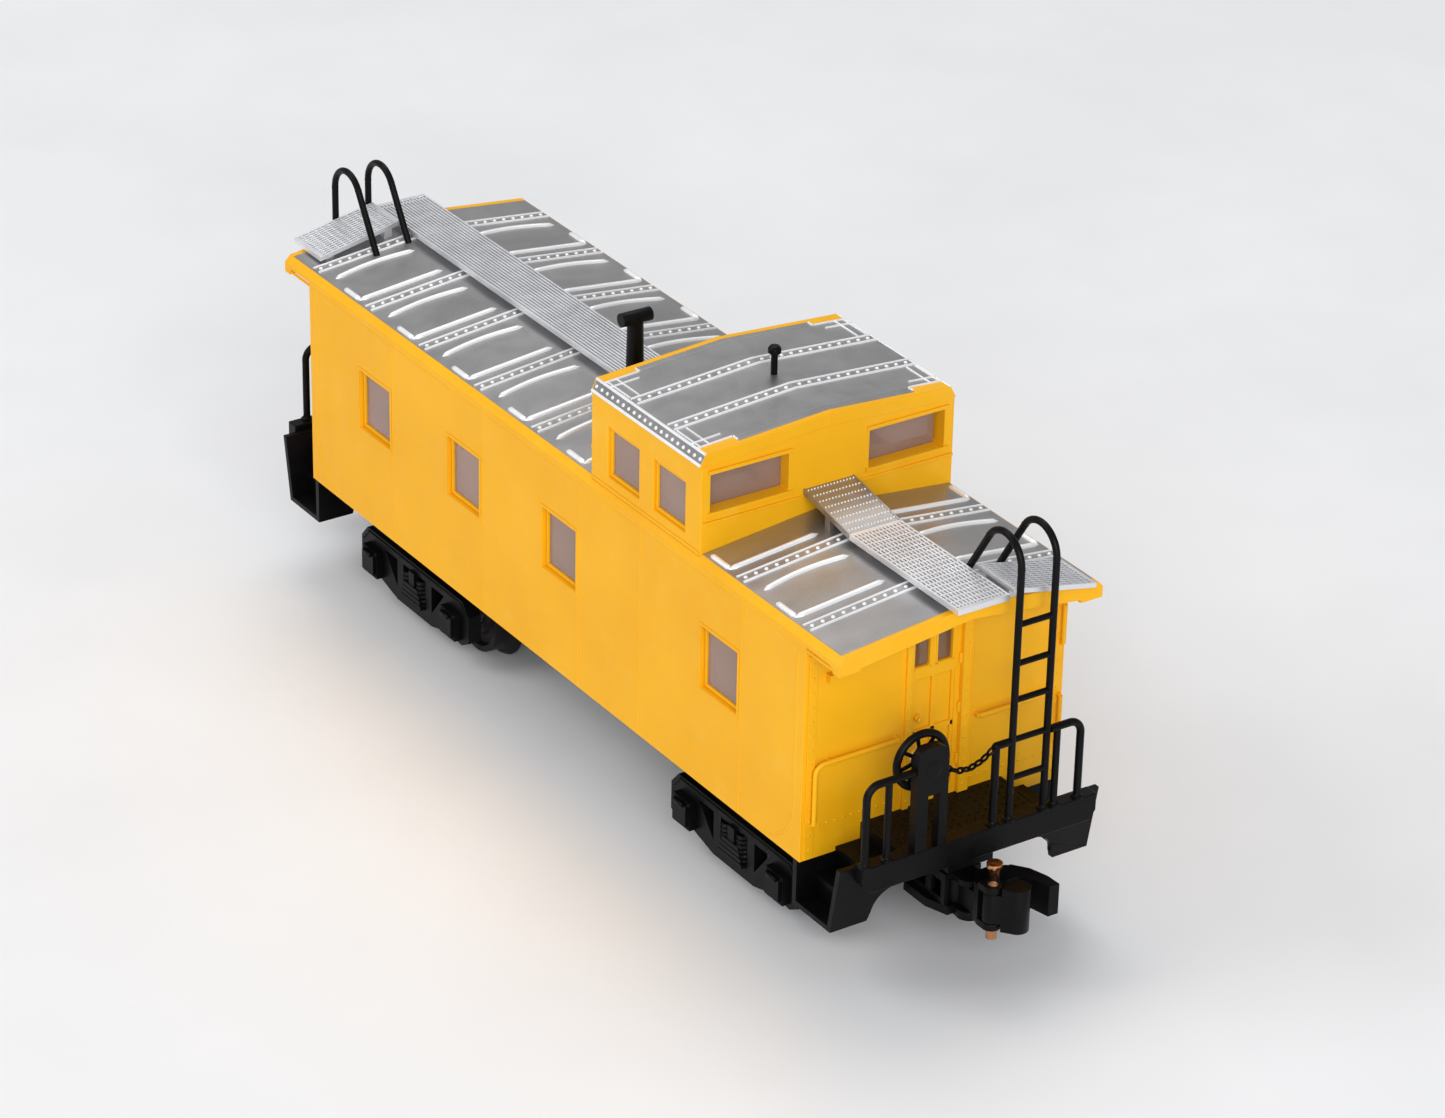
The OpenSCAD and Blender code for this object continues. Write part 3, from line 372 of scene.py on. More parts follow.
def silver_paint(name, dark, light, rough, metal=0.8):
    """Aluminium paint: metal flakes, and soft streaks down the slopes. metal is how metallic it looks."""
    s = Surface(name, Metallic=metal, Specular_IOR_Level=0.4)
    base = s.tones(s.noise(0.25, 4, (1, 0.35, 1)), dark, light)
    flakes = s.spread(s.noise(22, 1), 0, 0.35, 0.5, 0.7)
    s.colour(s.mix(flakes, base, tuple(min(1.0, c * 1.4) for c in light)))
    s.roughness(s.spread(s.noise(0.6, 3), rough - 0.05, rough + 0.06))
    s.bump(s.noise(18, 2), 0.003, 0.4)
    s.bump(s.noise(0.35, 2), 0.01, 0.25)
    return s.material


def black_plastic(name, tone, rough):
    """Moulded engineering plastic: near black, with faint flow marks."""
    s = Surface(name, IOR=1.5, Specular_IOR_Level=0.10)
    s.colour(s.tones(s.noise(0.3, 3), scaled(tone, 0.7), scaled(tone, 1.3)))
    s.roughness(s.spread(s.noise(1.2, 4), rough - 0.05, rough + 0.08))
    s.bump(s.noise(0.8, 2), 0.008, 0.25)
    s.bump(s.noise(16, 2), 0.002, 0.3)
    return s.material


def clear_plastic(name, tone, clear):
    """Moulded glazing with gentle waves, its tone painted in for the interior seen through it: a painted glow
    in the windows, painted shade in the door. clear is the share of light that passes through.
    """
    s = Surface(name, IOR=1.5, Transmission_Weight=clear)
    s.colour(s.tones(s.noise(0.2, 2), scaled(tone, 0.92), scaled(tone, 1.08)))
    s.roughness(s.spread(s.noise(1.5, 2), 0.03, 0.09))
    s.bump(s.noise(0.22, 1), 0.05, 0.5)
    return s.material


def turned_metal(name, dark, light, rough):
    """Bare metal with fine turning marks."""
    s = Surface(name, Metallic=1.0)
    s.colour(s.tones(s.noise(1.5, 3), dark, light))
    s.roughness(s.spread(s.noise(3, 2), rough - 0.06, rough + 0.08))
    s.bump(s.noise(4, 2, (1, 1, 6)), 0.006, 0.5)
    return s.material


def floor_surface():
    """Pale laminate with faint brushed scratches."""
    s = Surface("floor_laminate", IOR=1.45)
    s.colour(s.tones(s.noise(0.03, 4), (0.83, 0.84, 0.86), (0.87, 0.88, 0.90)))
    s.roughness(s.spread(s.noise(0.15, 4), 0.40, 0.55))
    s.bump(s.noise(0.5, 4, (1, 0.15, 1)), 0.03, 0.25)
    return s.material


YELLOW = yellow_paint()
SILVER = silver_paint("silver_paint", (0.33, 0.325, 0.33), (0.41, 0.405, 0.41), 0.36)
# Near-white silver for ribs, rivets and studs: a painted highlight standing in for the shine on the convex
# beads
HIGHLIGHT_PAINTED_SILVER = silver_paint("highlight_painted_silver", (0.86, 0.87, 0.89), (0.94, 0.95, 0.96), 0.40, 0.35)
WALKWAY = silver_paint("walkway_paint", (0.76, 0.77, 0.80), (0.86, 0.87, 0.90), 0.42)
BLACK = black_plastic("black_plastic", (0.004, 0.004, 0.0045), 0.34)
WHEEL_BLACK = black_plastic("wheel_plastic", (0.012, 0.010, 0.010), 0.42)
# Window glazing: its warm brown tone is a painted glow of the lit yellow interior seen through it
GLAZING_PAINTED_GLOW = clear_plastic("glazing_painted_glow", (0.62, 0.42, 0.34), 0.62)
# Door panes: their dark brown is painted shade of the interior behind the door
DOOR_PANE_PAINTED_SHADE = clear_plastic("door_pane_painted_shade", (0.26, 0.13, 0.06), 0.3)
STEEL = turned_metal("bright_steel", (0.50, 0.50, 0.50), (0.66, 0.66, 0.67), 0.28)
BALLAST = turned_metal("ballast_steel", (0.28, 0.28, 0.29), (0.40, 0.40, 0.41), 0.45)
COPPER = turned_metal("copper_wire", (0.62, 0.27, 0.12), (0.80, 0.40, 0.20), 0.30)


# ---------------------------------------------------------------- carried-over CAD nodes

# (start of the node's name, material, bevel in millimetres)
NODE_LOOKS = (
    ("body_shell", YELLOW, 0.07),
    ("cupola_shell", YELLOW, 0.07),
    ("side_glazing", GLAZING_PAINTED_GLOW, 0),
    ("cupola_glazing", GLAZING_PAINTED_GLOW, 0),
    ("door_glazing", GLAZING_PAINTED_GLOW, 0),
    ("ballast_weight", BALLAST, 0.1),
    ("axle_", STEEL, 0),
    ("wheels_", WHEEL_BLACK, 0.04),
    ("coupler_spring", STEEL, 0),
    ("coupler_cover", BLACK, 0.06),
    ("knuckle_pin", STEEL, 0),
    ("brake_wheel_pin", STEEL, 0.04),
    ("trip_pin", COPPER, 0.06),
    ("running_board", WALKWAY, 0),
    ("lateral_board", WALKWAY, 0),
    ("roof_", SILVER, 0),
    ("cupola_roof", SILVER, 0),
    ("steps", BLACK, 0.05),
    ("truck_frame", BLACK, 0.07),
    ("underframe", BLACK, 0.08),
    ("end_platform", BLACK, 0.08),
    ("brake_stand", BLACK, 0.08),
    ("end_railing", BLACK, 0),
    ("ladder", BLACK, 0),
    ("", BLACK, 0.05),
)


def dress_cad_nodes():
    """Gives every CAD node its material, and rounds the sharp edges of the boxy ones."""
    for name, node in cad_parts.items():
        look = next(row for row in NODE_LOOKS if name.startswith(row[0]))
        node.data.materials.clear()
        node.data.materials.append(look[1])
        if look[2]:
            weld = node.modifiers.new("weld", "WELD")
            weld.merge_threshold = 0.002 * MM
            add_bevel(node, look[2])


# ---------------------------------------------------------------- roofs


def roof_z(y):
    return RIDGE_Z - ROOF_SLOPE * abs(y)


def cupola_z(y):
    return CUPOLA_RIDGE_Z - CUPOLA_SLOPE * abs(y)


def slope_normal(side):
    return Vector((0, side * ROOF_SLOPE, 1)).normalized()


def gable_sheet(shape, x0, x1, half_w, height):
    top = [(y, height(y)) for y in (-half_w, 0, half_w)]
    shape.along_x(top + [(y, z - ROOF_T) for y, z in reversed(top)], x0, x1)


def seam_strip(sheet, ribs, rivets, x, half_w, height, slope):
    """A riveted strip across both slopes: a thin flat with a rounded rim along each edge."""
    for side in (-1, 1):
        normal = Vector((0, side * slope, 1)).normalized()
        high = side * (half_w - 0.12)
        left, right = x - STRIP_HALF_W, x + STRIP_HALF_W
        flat = [(left, 0), (right, 0), (right, high), (left, high)]
        sheet.prism([(px, py, height(py) - 0.05) for px, py in flat], normal * 0.09)
        for edge in (-STRIP_RIM_X, STRIP_RIM_X):
            ends = [(x + edge, y, height(y)) for y in (0, high)]
            path = [Vector(ends[0]).lerp(Vector(ends[1]), t / 8) for t in range(9)]
            ribs.ridge(path, normal, 0.08, 0.13)
        for y in even(0.5, half_w - 0.5, 0.74):
            rivets.rivet((x, side * y, height(y) + 0.04), normal, 0.14, 0.1)


def pressed_bead(ribs, x, side, y_in, y_out, bow=0.0, width=0.22, height=0.2):
    """A rounded bead pressed down one slope. It bows along X by bow at its middle."""
    steps = 18
    path = []
    for i in range(steps + 1):
        t = i / steps
        y = side * (y_in + (y_out - y_in) * t)
        path.append((x + bow * math.sin(math.pi * t), y, roof_z(y) - 0.02))
    ribs.ridge(path, slope_normal(side), width, height, taper=0.45)


def eave_bead(ribs, x0, x1, side):
    """The short bead along the eave that turns the corner of a panel."""
    y = side * (ROOF_HALF_W - 0.35)
    path = [(x0 + (x1 - x0) * i / 8, y, roof_z(y) - 0.02) for i in range(9)]
    ribs.ridge(path, slope_normal(side), 0.2, 0.2, taper=0.3)


def main_roof(name, node, x0, x1, seams, panels):
    """One length of the main roof. Each panel is the X of its two seams, even where the cupola hides one."""
    sheet, ribs, rivets = Shape(), Shape(), Shape()
    gable_sheet(sheet, x0, x1, ROOF_HALF_W, roof_z)
    for x in seams:
        seam_strip(sheet, ribs, rivets, x, ROOF_HALF_W, roof_z, ROOF_SLOPE)
    for left, right in panels:
        for side in (-1, 1):
            if x0 < left + LEFT_BEAD:
                pressed_bead(ribs, left + LEFT_BEAD, side, BEAD_TOP_Y, 8.7, bow=-0.35)
            if right - RIGHT_BEAD < x1:
                pressed_bead(ribs, right - RIGHT_BEAD, side, BEAD_TOP_Y, 9.0)
                eave_bead(ribs, max(right - 3.6, x0 + 0.3), right - 1.4, side)
    sheet.make(name, "car", SILVER, "roof_silver", 0.08, (node,))
    # Ribs and rivets take the near-white silver, a painted highlight of their shine
    ribs.make(name + "_ribs", "car", HIGHLIGHT_PAINTED_SILVER, "roof_silver")
    rivets.make(name + "_rivets", "car", HIGHLIGHT_PAINTED_SILVER, "roof_silver")


def cupola_band(sheet, ribs, rivets, x0, x1, side):
    """The steep riveted band along one eave of the cupola's roof, with a rolled lip."""
    top = Vector((0, side * SHOULDER_Y, SHOULDER_Z))
    foot = Vector((0, side * CUPOLA_LIP_Y, CUPOLA_LIP_Z))
    down = (foot - top).normalized()
    normal = Vector((0, -side * down.z, side * down.y)).normalized()
    outline = [(side * SHOULDER_Y, SHOULDER_Z), (side * CUPOLA_LIP_Y, CUPOLA_LIP_Z)]
    outline.append((side * SHOULDER_Y, CUPOLA_LIP_Z))
    sheet.along_x(outline, x0, x1)
    for share, half_width, height in ((0.06, 0.09, 0.1), (0.9, 0.1, 0.07)):
        path = [(x0 + (x1 - x0) * i / 8, *(top.lerp(foot, share)).yz) for i in range(9)]
        ribs.ridge(path, normal, half_width, height)
    for x in even(x0 + 0.3, x1 - 0.3, 0.62):
        rivets.rivet((x, *(top.lerp(foot, 0.5)).yz), normal, 0.13, 0.08)


def corner_plate(ribs, end, toward, side):
    """Raised edges of the corner plate at one end of one eave, and the bright edge of the notch beside it."""
    normal = Vector((0, side * CUPOLA_SLOPE, 1)).normalized()
    edge_x = end + toward * (CUPOLA_WALL_T + 0.07)
    for y_in in (0.2, 0.85):
        y = side * (SHOULDER_Y - y_in)
        path = [(edge_x + toward * 2.6 * i / 6, y, cupola_z(y)) for i in range(7)]
        ribs.ridge(path, normal, 0.06, 0.09)
    for inset, reach in ((0.0, CUPOLA_NOTCH_Y + 0.1), (0.7, CUPOLA_NOTCH_Y + 0.5)):
        run = [side * (SHOULDER_Y - (SHOULDER_Y - reach) * i / 6) for i in range(7)]
        ribs.ridge([(edge_x + toward * inset, y, cupola_z(y)) for y in run], normal, 0.06, 0.11)
    y = side * CUPOLA_NOTCH_Y
    ribs.ridge([(edge_x - toward * 0.5 * (1 - i / 4), y, cupola_z(y)) for i in range(5)], normal, 0.06, 0.09)


def cupola_roof():
    sheet, ribs, rivets = Shape(), Shape(), Shape()
    x0, x1 = CUPOLA_ROOF_LOW.x, CUPOLA_ROOF_HIGH.x
    rim, skin = 0.35, 0.08
    gable_sheet(sheet, x0 + CUPOLA_WALL_T, x1 - CUPOLA_WALL_T, SHOULDER_Y, cupola_z)
    for end, toward in ((x0, 1), (x1, -1)):
        low, high = sorted((end + toward * rim, end + toward * (CUPOLA_WALL_T - 0.001)))
        gable_sheet(sheet, low, high, CUPOLA_NOTCH_Y, cupola_z)
    third = (x1 - x0) / 3
    for x in (x0 + third, x1 - third):
        seam_strip(sheet, ribs, rivets, x, SHOULDER_Y, cupola_z, CUPOLA_SLOPE)
    for side in (-1, 1):
        cupola_band(sheet, ribs, rivets, x0 + skin, x1 - skin, side)
        corner_plate(ribs, x0, 1, side)
        corner_plate(ribs, x1, -1, side)
    sheet.make("cupola_roof_sheet", "car", SILVER, "roof_silver", 0.06, ("cupola_roof",))
    # Ribs and rivets take the near-white silver, a painted highlight of their shine
    ribs.make("cupola_roof_ribs", "car", HIGHLIGHT_PAINTED_SILVER, "roof_silver")
    rivets.make("cupola_roof_rivets", "car", HIGHLIGHT_PAINTED_SILVER, "roof_silver")


# ---------------------------------------------------------------- walkways

SLAT_W = 0.15
BORDER_W = 0.3
SLAT_PITCH = 0.27
BAR_PITCH = 0.5
SLAT_T = 0.4
BOARD_TOP = RIDGE_Z + 0.6
RAMP_LEN = 5.0
RAMP_RISE = 0.9


def running_grating(name, node, x_wall, x_out, saddles):
    """Open grating out to the roof's end: close slats along the car over thin cross bars."""
    shape = Shape()
    half = BOARD_HIGH.y
    foot = BOARD_TOP - SLAT_T
    toward = 1 if x_out > x_wall else -1
    x_knee = x_wall + toward * RAMP_LEN
    low, high = sorted((x_knee, x_out))
    low, high = low + BORDER_W - 0.01, high - BORDER_W + 0.01
    for y in even(-half + SLAT_W / 2, half - SLAT_W / 2, SLAT_PITCH):
        shape.block((low, y - SLAT_W / 2, foot), (high, y + SLAT_W / 2, BOARD_TOP))
    for x in even(x_knee + toward * 0.6, x_out - toward * 0.6, BAR_PITCH):
        shape.block((x - 0.06, -half + 0.05, foot + 0.02), (x + 0.06, half - 0.05, BOARD_TOP - 0.04))
    for x in (x_knee, x_out - toward * BORDER_W):
        low, high = sorted((x, x + toward * BORDER_W))
        shape.block((low, -half, foot), (high, half, BOARD_TOP))
    for x in saddles:
        base = [(y, roof_z(y) - 0.05) for y in (-1.2, 0, 1.2)]
        shape.along_x(base + [(1.2, foot + 0.1), (-1.2, foot + 0.1)], x - 0.4, x + 0.4)
    shape.make(name, "car", WALKWAY, "walkway_silver", 0.03, (node,))


def ramp(name, x_wall, toward):
    """Studded ramp from the grating up to the cupola's wall, with two struts under its edges."""
    plate, studs = Shape(), Shape()
    half = BOARD_HIGH.y
    x_knee = x_wall + toward * RAMP_LEN
    knee, wall = (x_knee, BOARD_TOP), (x_wall, BOARD_TOP + RAMP_RISE)
    side_view = [(knee, SLAT_T), (wall, SLAT_T), (wall, 0.04), (knee, 0.04)]
    plate.prism([(x, -half, z - drop) for (x, z), drop in side_view], (0, 2 * half, 0))
    for edge in (-half, half - 0.12):
        rim = [(knee, 0.1), (wall, 0.1), (wall, -0.02), (knee, -0.02)]
        plate.prism([(x, edge, z - drop) for (x, z), drop in rim], (0, 0.12, 0))
    middle = (x_wall + x_knee) / 2
    for y in (-1.8, 1.4):
        plate.block((middle - 0.25, y, roof_z(y) - 0.1), (middle + 0.25, y + 0.4, BOARD_TOP + 0.1))
    normal = Vector((toward * RAMP_RISE / RAMP_LEN, 0, 1)).normalized()
    for t in even(0.07, 0.95, 0.125):
        for y in even(-half + 0.22, half - 0.22, 0.235):
            place = (x_knee + (x_wall - x_knee) * t, y, BOARD_TOP - 0.04 + RAMP_RISE * t)
            studs.rivet(place, normal, 0.065, 0.09, 6)
    plate.make(name, "car", SILVER, "roof_silver", 0.03)
    # Studs take the near-white silver, a painted highlight of their shine
    studs.make(name + "_studs", "car", HIGHLIGHT_PAINTED_SILVER, "walkway_silver")


def lateral_grating(side, end):
    """Cross board on two cleats, its slats running across the car and dipping outward."""
    shape = Shape()
    x0, x1 = END_WALL_X + 0.7, END_WALL_X + 4.4
    y0, y1 = 2.2, 8.4
    thick, slope = 0.35, 0.21

    def board_z(y):
        return BOARD_TOP + 0.3 - slope * (y - y0)

    def bar(xa, xb, ya, yb, low, high):
        corners = [(ya, board_z(ya) - low), (yb, board_z(yb) - low)]
        corners += [(yb, board_z(yb) - high), (ya, board_z(ya) - high)]
        shape.along_x(corners, xa, xb)

    for x in even(x0 + SLAT_W / 2, x1 - SLAT_W / 2, SLAT_PITCH):
        bar(x - SLAT_W / 2, x + SLAT_W / 2, y0 + BORDER_W - 0.01, y1 - BORDER_W + 0.01, thick, 0)
    for y in even(y0 + 0.5, y1 - 0.6, BAR_PITCH):
        bar(x0 + 0.05, x1 - 0.05, y, y + 0.12, thick, 0.04)
    for y in (y0, y1 - BORDER_W):
        bar(x0, x1, y, y + BORDER_W, thick, 0)
    for y in (2.6, 7.2):
        foot = [(y, roof_z(y) - 0.03), (y + 0.6, roof_z(y + 0.6) - 0.03)]
        head = [(y + 0.6, board_z(y + 0.6) - thick / 2), (y, board_z(y) - thick / 2)]
        shape.along_x(foot + head, END_WALL_X + 1, EAVE_END_X - 0.05)
    shape.at_end(side).make(f"lateral_grating_{end}", "car", WALKWAY, "walkway_silver", 0.03,
                            (f"lateral_board_{end}",))


# ---------------------------------------------------------------- body details

SIDE_SEAM_X = (-18.8, -7.1, 4.6, 11.8, 23.2)
SIDE_WINDOW_X = (-23.4, -11.8, 0.1, 18.6)
CUPOLA_WINDOW_X = (7.3, 12.5)
DOOR_PANE_Y = (-1.7, 0.0)
WINDOW_W = 4.46
WINDOW_H = 4.75
WINDOW_Z = 14.6


def side_details():
    """Panel seams, the curved corner lines and the window frames of both sides."""
    seams, frames = Shape(), Shape()
    for side in (-1, 1):
        y = side * BODY_HALF_W
        out = Vector((0, side, 0))
        for x in SIDE_SEAM_X:
            seams.ridge([(x, y, BODY_FOOT + 0.1), (x, y, 15), (x, y, EAVE_Z - 0.5)], out, 0.07, 0.03)
        for end in (-1, 1):
            arc = arc_points((END_WALL_X - 4.2, BODY_FOOT + 3.7), 3.4, -90, 0, 10)
            path = [(end * u, y, v) for u, v in arc]
            path += [(end * (END_WALL_X - 0.8), y, z) for z in (14, 18, EAVE_Z - 1.4)]
            seams.ridge(path, out, 0.08, 0.035)
        eave_line = [(x, y, EAVE_Z - 0.95) for x in even(-EAVE_END_X + 0.3, EAVE_END_X - 0.3, 10)]
        seams.ridge(eave_line, out, 0.07, 0.035)
        for x in SIDE_WINDOW_X:
            y0, y1 = sorted((y, y + side * 0.05))
            frames.frame_ring((x, WINDOW_Z), (x + WINDOW_W, WINDOW_Z + WINDOW_H), 0.2, y0, y1)
            y0, y1 = sorted((y - side * 0.5, y - side * 0.24))
            high = (x + WINDOW_W - 0.3, WINDOW_Z + WINDOW_H - 0.3)
            frames.frame_ring((x + 0.3, WINDOW_Z + 0.3), high, 0.22, y0, y1)
    seams.make("side_seams", "car", YELLOW, "body_yellow")
    frames.make("side_window_frames", "car", YELLOW, "body_yellow", 0.03)


def glazing_bosses():
    """Raised panes of the moulded glazing, filling the window and door openings nearly to the frames."""
    panes, door = Shape(), Shape()
    for side in (-1, 1):
        y0, y1 = sorted((side * (BODY_HALF_W - 0.88), side * (BODY_HALF_W - 0.36)))
        for x in SIDE_WINDOW_X:
            panes.block((x + 0.5, y0, WINDOW_Z + 0.5), (x + WINDOW_W - 0.5, y1, WINDOW_Z + WINDOW_H - 0.5))
        y0, y1 = sorted((side * (CUPOLA_HIGH.y - 0.88), side * (CUPOLA_HIGH.y - 0.33)))
        for x in CUPOLA_WINDOW_X:
            panes.block((x + 0.43, y0, EAVE_Z + 0.93), (x + 3.57, y1, EAVE_Z + 3.97))
        for pane in DOOR_PANE_Y:
            x0, x1 = sorted((side * (END_WALL_X - 0.97), side * (END_WALL_X - 0.12)))
            y0, y1 = sorted((side * (pane + 0.02), side * (pane + 1.08)))
            door.block((x0, y0, 19.1), (x1, y1, 21.28))
    panes.make("glazing_bosses", "car", GLAZING_PAINTED_GLOW, "clear_glazing", 0.08)
    door.make("door_pane_bosses", "car", DOOR_PANE_PAINTED_SHADE, "clear_glazing", 0.08)


def grab_rail(shape, path, radius=0.16):
    """A length of round wire rail."""
    shape.tube(path, radius, 10)


def end_details(side, end):
    """Door, riveted posts, grab rails and rivet rows of one end wall."""
    trim, rivets = Shape(), Shape()
    x = END_WALL_X
    # Door: rails of the lower panels, hinges and handle
    for z in (10.6, 14.3, 18.2):
        trim.block((x - 0.26, -1.75, z), (x - 0.08, 1.55, z + 0.35))
    for y in (-1.75, -0.28, 1.2):
        trim.block((x - 0.26, y, 10.6), (x - 0.08, y + 0.35, 18.5))
    for pane in DOOR_PANE_Y:
        for z in (18.95, 21.3):
            trim.block((x - 0.05, pane - 0.12, z), (x + 0.06, pane + 1.22, z + 0.13))
        for y in (pane - 0.12, pane + 1.1):
            trim.block((x - 0.05, y, 18.95), (x + 0.06, y + 0.12, 21.43))
    knob = [(0.22, -0.2), (0.22, 0.1), (0.12, 0.14), (0.12, 0.3), (0.2, 0.34), (0.1, 0.42)]
    trim.lathe((x, -1.35, 15.6), (1, 0, 0), knob, 12)
    for z in (11.6, 15.2, 18.6):
        trim.tube([(x + 0.08, 1.72, z), (x + 0.08, 1.72, z + 0.7)], 0.13, 8)
    # Posts each side of the door and the corner posts, with their rivets
    trim.block((x + 0.02, 1.75, DECK_Z + 0.02), (x + 0.3, 2.5, 21.95))
    for y in (1.75, 2.4):
        trim.block((x + 0.28, y, DECK_Z + 0.1), (x + 0.36, y + 0.1, 21.9))
    for y in (-2.13, 2.12):
        for z in even(DECK_Z + 0.6, 21.6, 0.85):
            rivets.rivet((x + (0.25 if y < 0 else 0.3), y, z), (1, 0, 0), 0.1, 0.06)
    for y in (-9.15, 9.15):
        trim.block((x - 0.05, y - 0.3, BODY_FOOT + 0.1), (x + 0.12, y + 0.3, EAVE_Z - 1.4))
        for z in even(BODY_FOOT + 0.8, EAVE_Z - 2, 0.95):
            rivets.rivet((x + 0.12, y, z), (1, 0, 0), 0.1, 0.06)
    # Rivet row over the deck
    for y in even(2.9, 8.4, 0.62):
        for hand in (-1, 1):
            rivets.rivet((x, hand * y, DECK_Z + 0.75), (1, 0, 0), 0.1, 0.07)
    # Grab rails
    rail = Shape()
    out = x + 0.38
    z = BODY_FOOT + 6.7
    bend = arc_points((-8.35, z - 0.65), 0.65, 90, 180, 5)
    path = [(out, y, z) for y in (-2.9, -5.5)] + [(out, u, v) for u, v in bend]
    path.append((out, -9.0, BODY_FOOT + 2.6))
    grab_rail(rail, path)
    grab_rail(rail, [(out, -2.9, z), (x - 0.1, -2.9, z)])
    grab_rail(rail, [(out, -7.9, z), (x - 0.1, -7.9, z)], 0.12)
    grab_rail(rail, [(out, -9.0, BODY_FOOT + 2.7), (x - 0.1, -9.0, BODY_FOOT + 2.3)], 0.15)
    grab_rail(rail, [(out, y, z - 0.1) for y in (3.1, 6.0, 8.6)])
    grab_rail(rail, [(out, 3.1, z - 0.1), (x - 0.1, 3.1, z - 0.1)])
    grab_rail(rail, [(out, 8.6, z - 0.1), (x - 0.1, 8.6, z - 0.1)])
    for low, high in ((2.8, 6.2), (9.9, 12.6)):
        grab_rail(rail, [(out, 9.3, BODY_FOOT + low), (out, 9.3, BODY_FOOT + high)], 0.15)
        for foot in (low, high):
            grab_rail(rail, [(out, 9.3, BODY_FOOT + foot), (x, 9.3, BODY_FOOT + foot)], 0.15)
    # Bracket under the eave
    rail.block((x, -8.2, BODY_FOOT + 12.2), (x + 0.5, -7.8, BODY_FOOT + 12.7))
    trim.at_end(side).make(f"end_wall_trim_{end}", "car", YELLOW, "body_yellow", 0.03)
    rivets.at_end(side).make(f"end_wall_rivets_{end}", "car", YELLOW, "body_yellow")
    rail.at_end(side).make(f"grab_rails_{end}", "car", YELLOW, "body_yellow")


def cupola_details():
    """Window sashes, belts, end window sills, fascias and the skin over the roof bands' ends."""
    trim = Shape()
    half = CUPOLA_HIGH.y
    for side in (-1, 1):
        for x in CUPOLA_WINDOW_X:
            y0, y1 = sorted((side * (half - 0.45), side * (half - 0.2)))
            trim.frame_ring((x + 0.25, EAVE_Z + 0.75), (x + 3.75, EAVE_Z + 4.15), 0.2, y0, y1)
        y0, y1 = sorted((side * half, side * (half + 0.06)))
        trim.block((CUPOLA_LOW.x + 0.1, y0, EAVE_Z - 0.12), (CUPOLA_HIGH.x - 0.1, y1, EAVE_Z + 0.12))
    for x, out in ((CUPOLA_LOW.x, -1), (CUPOLA_HIGH.x, 1)):
        for side in (-1, 1):
            x0, x1 = sorted((x, x + out * 0.14))
            y0, y1 = sorted((side * 2.1, side * (half - 0.05)))
            trim.block((x0, y0, EAVE_Z + 1.9), (x1, y1, EAVE_Z + 2.1))
            y0, y1 = sorted((side * 2.75, side * 8.95))
            for z in (26.05, 28.9):
                trim.block((x0, y0, z), (x1, y1, z + 0.25))
        # Raised fascia under the roof's edge
        for side in (-1, 1):
            x0, x1 = sorted((x, x + out * 0.1))
            top = [(0, CUPOLA_RIDGE_Z - 0.03), (side * SHOULDER_Y, SHOULDER_Z - 0.03)]
            trim.along_x(top + [(y, z - FASCIA_H) for y, z in reversed(top)], x0, x1)
        # Yellow skin over the end of each steep band of the roof
        for side in (-1, 1):
            x0, x1 = sorted((x, x - out * 0.09))
            band = [(side * (SHOULDER_Y - 0.05), SHOULDER_Z), (side * SHOULDER_Y, SHOULDER_Z)]
            band += [(side * y, CUPOLA_LIP_Z - 0.02) for y in (CUPOLA_LIP_Y, SHOULDER_Y - 0.05)]
            trim.along_x(band, x0, x1)
    trim.make("cupola_trim", "car", YELLOW, "body_yellow", 0.03)


# ---------------------------------------------------------------- end fittings


def chain_links(side, end):
    """Moulded chain of small links across the gate, hanging between the stand and the post."""
    shape = Shape()
    x = PLATFORM_HIGH.x - 0.35
    y0, y1 = STAND_HIGH.y - 0.05, 0.85
    sag = 0.75

    def place(t):
        return Vector((x, y0 + (y1 - y0) * t, 15.0 + 0.3 * t - 4 * sag * t * (1 - t)))

    count = 8
    for i in range(count):
        a, b = place(i / count), place((i + 1) / count)
        middle, run = (a + b) / 2, (b - a)
        half, r = run.length / 2 + 0.05, 0.085
        along = run.normalized()
        across = Vector((1, 0, 0)) if i % 2 else along.cross(Vector((1, 0, 0))).normalized()
        loop = []
        for k in range(15):
            turn = 2 * math.pi * k / 14
            loop.append(middle + along * math.cos(turn) * half + across * math.sin(turn) * 0.17)
        shape.tube(loop, r, 7)
    eye = [(0.12, 0), (0.2, 0.05), (0.2, 0.2), (0.12, 0.26)]
    for t in (0, 1):
        shape.lathe(place(t) - Vector((0, 0.12, 0)), (0, 1, 0), eye, 10)
    shape.at_end(side).make(f"chain_links_{end}", "car", BLACK, "frame_black", 0, (f"gate_chain_{end}",))


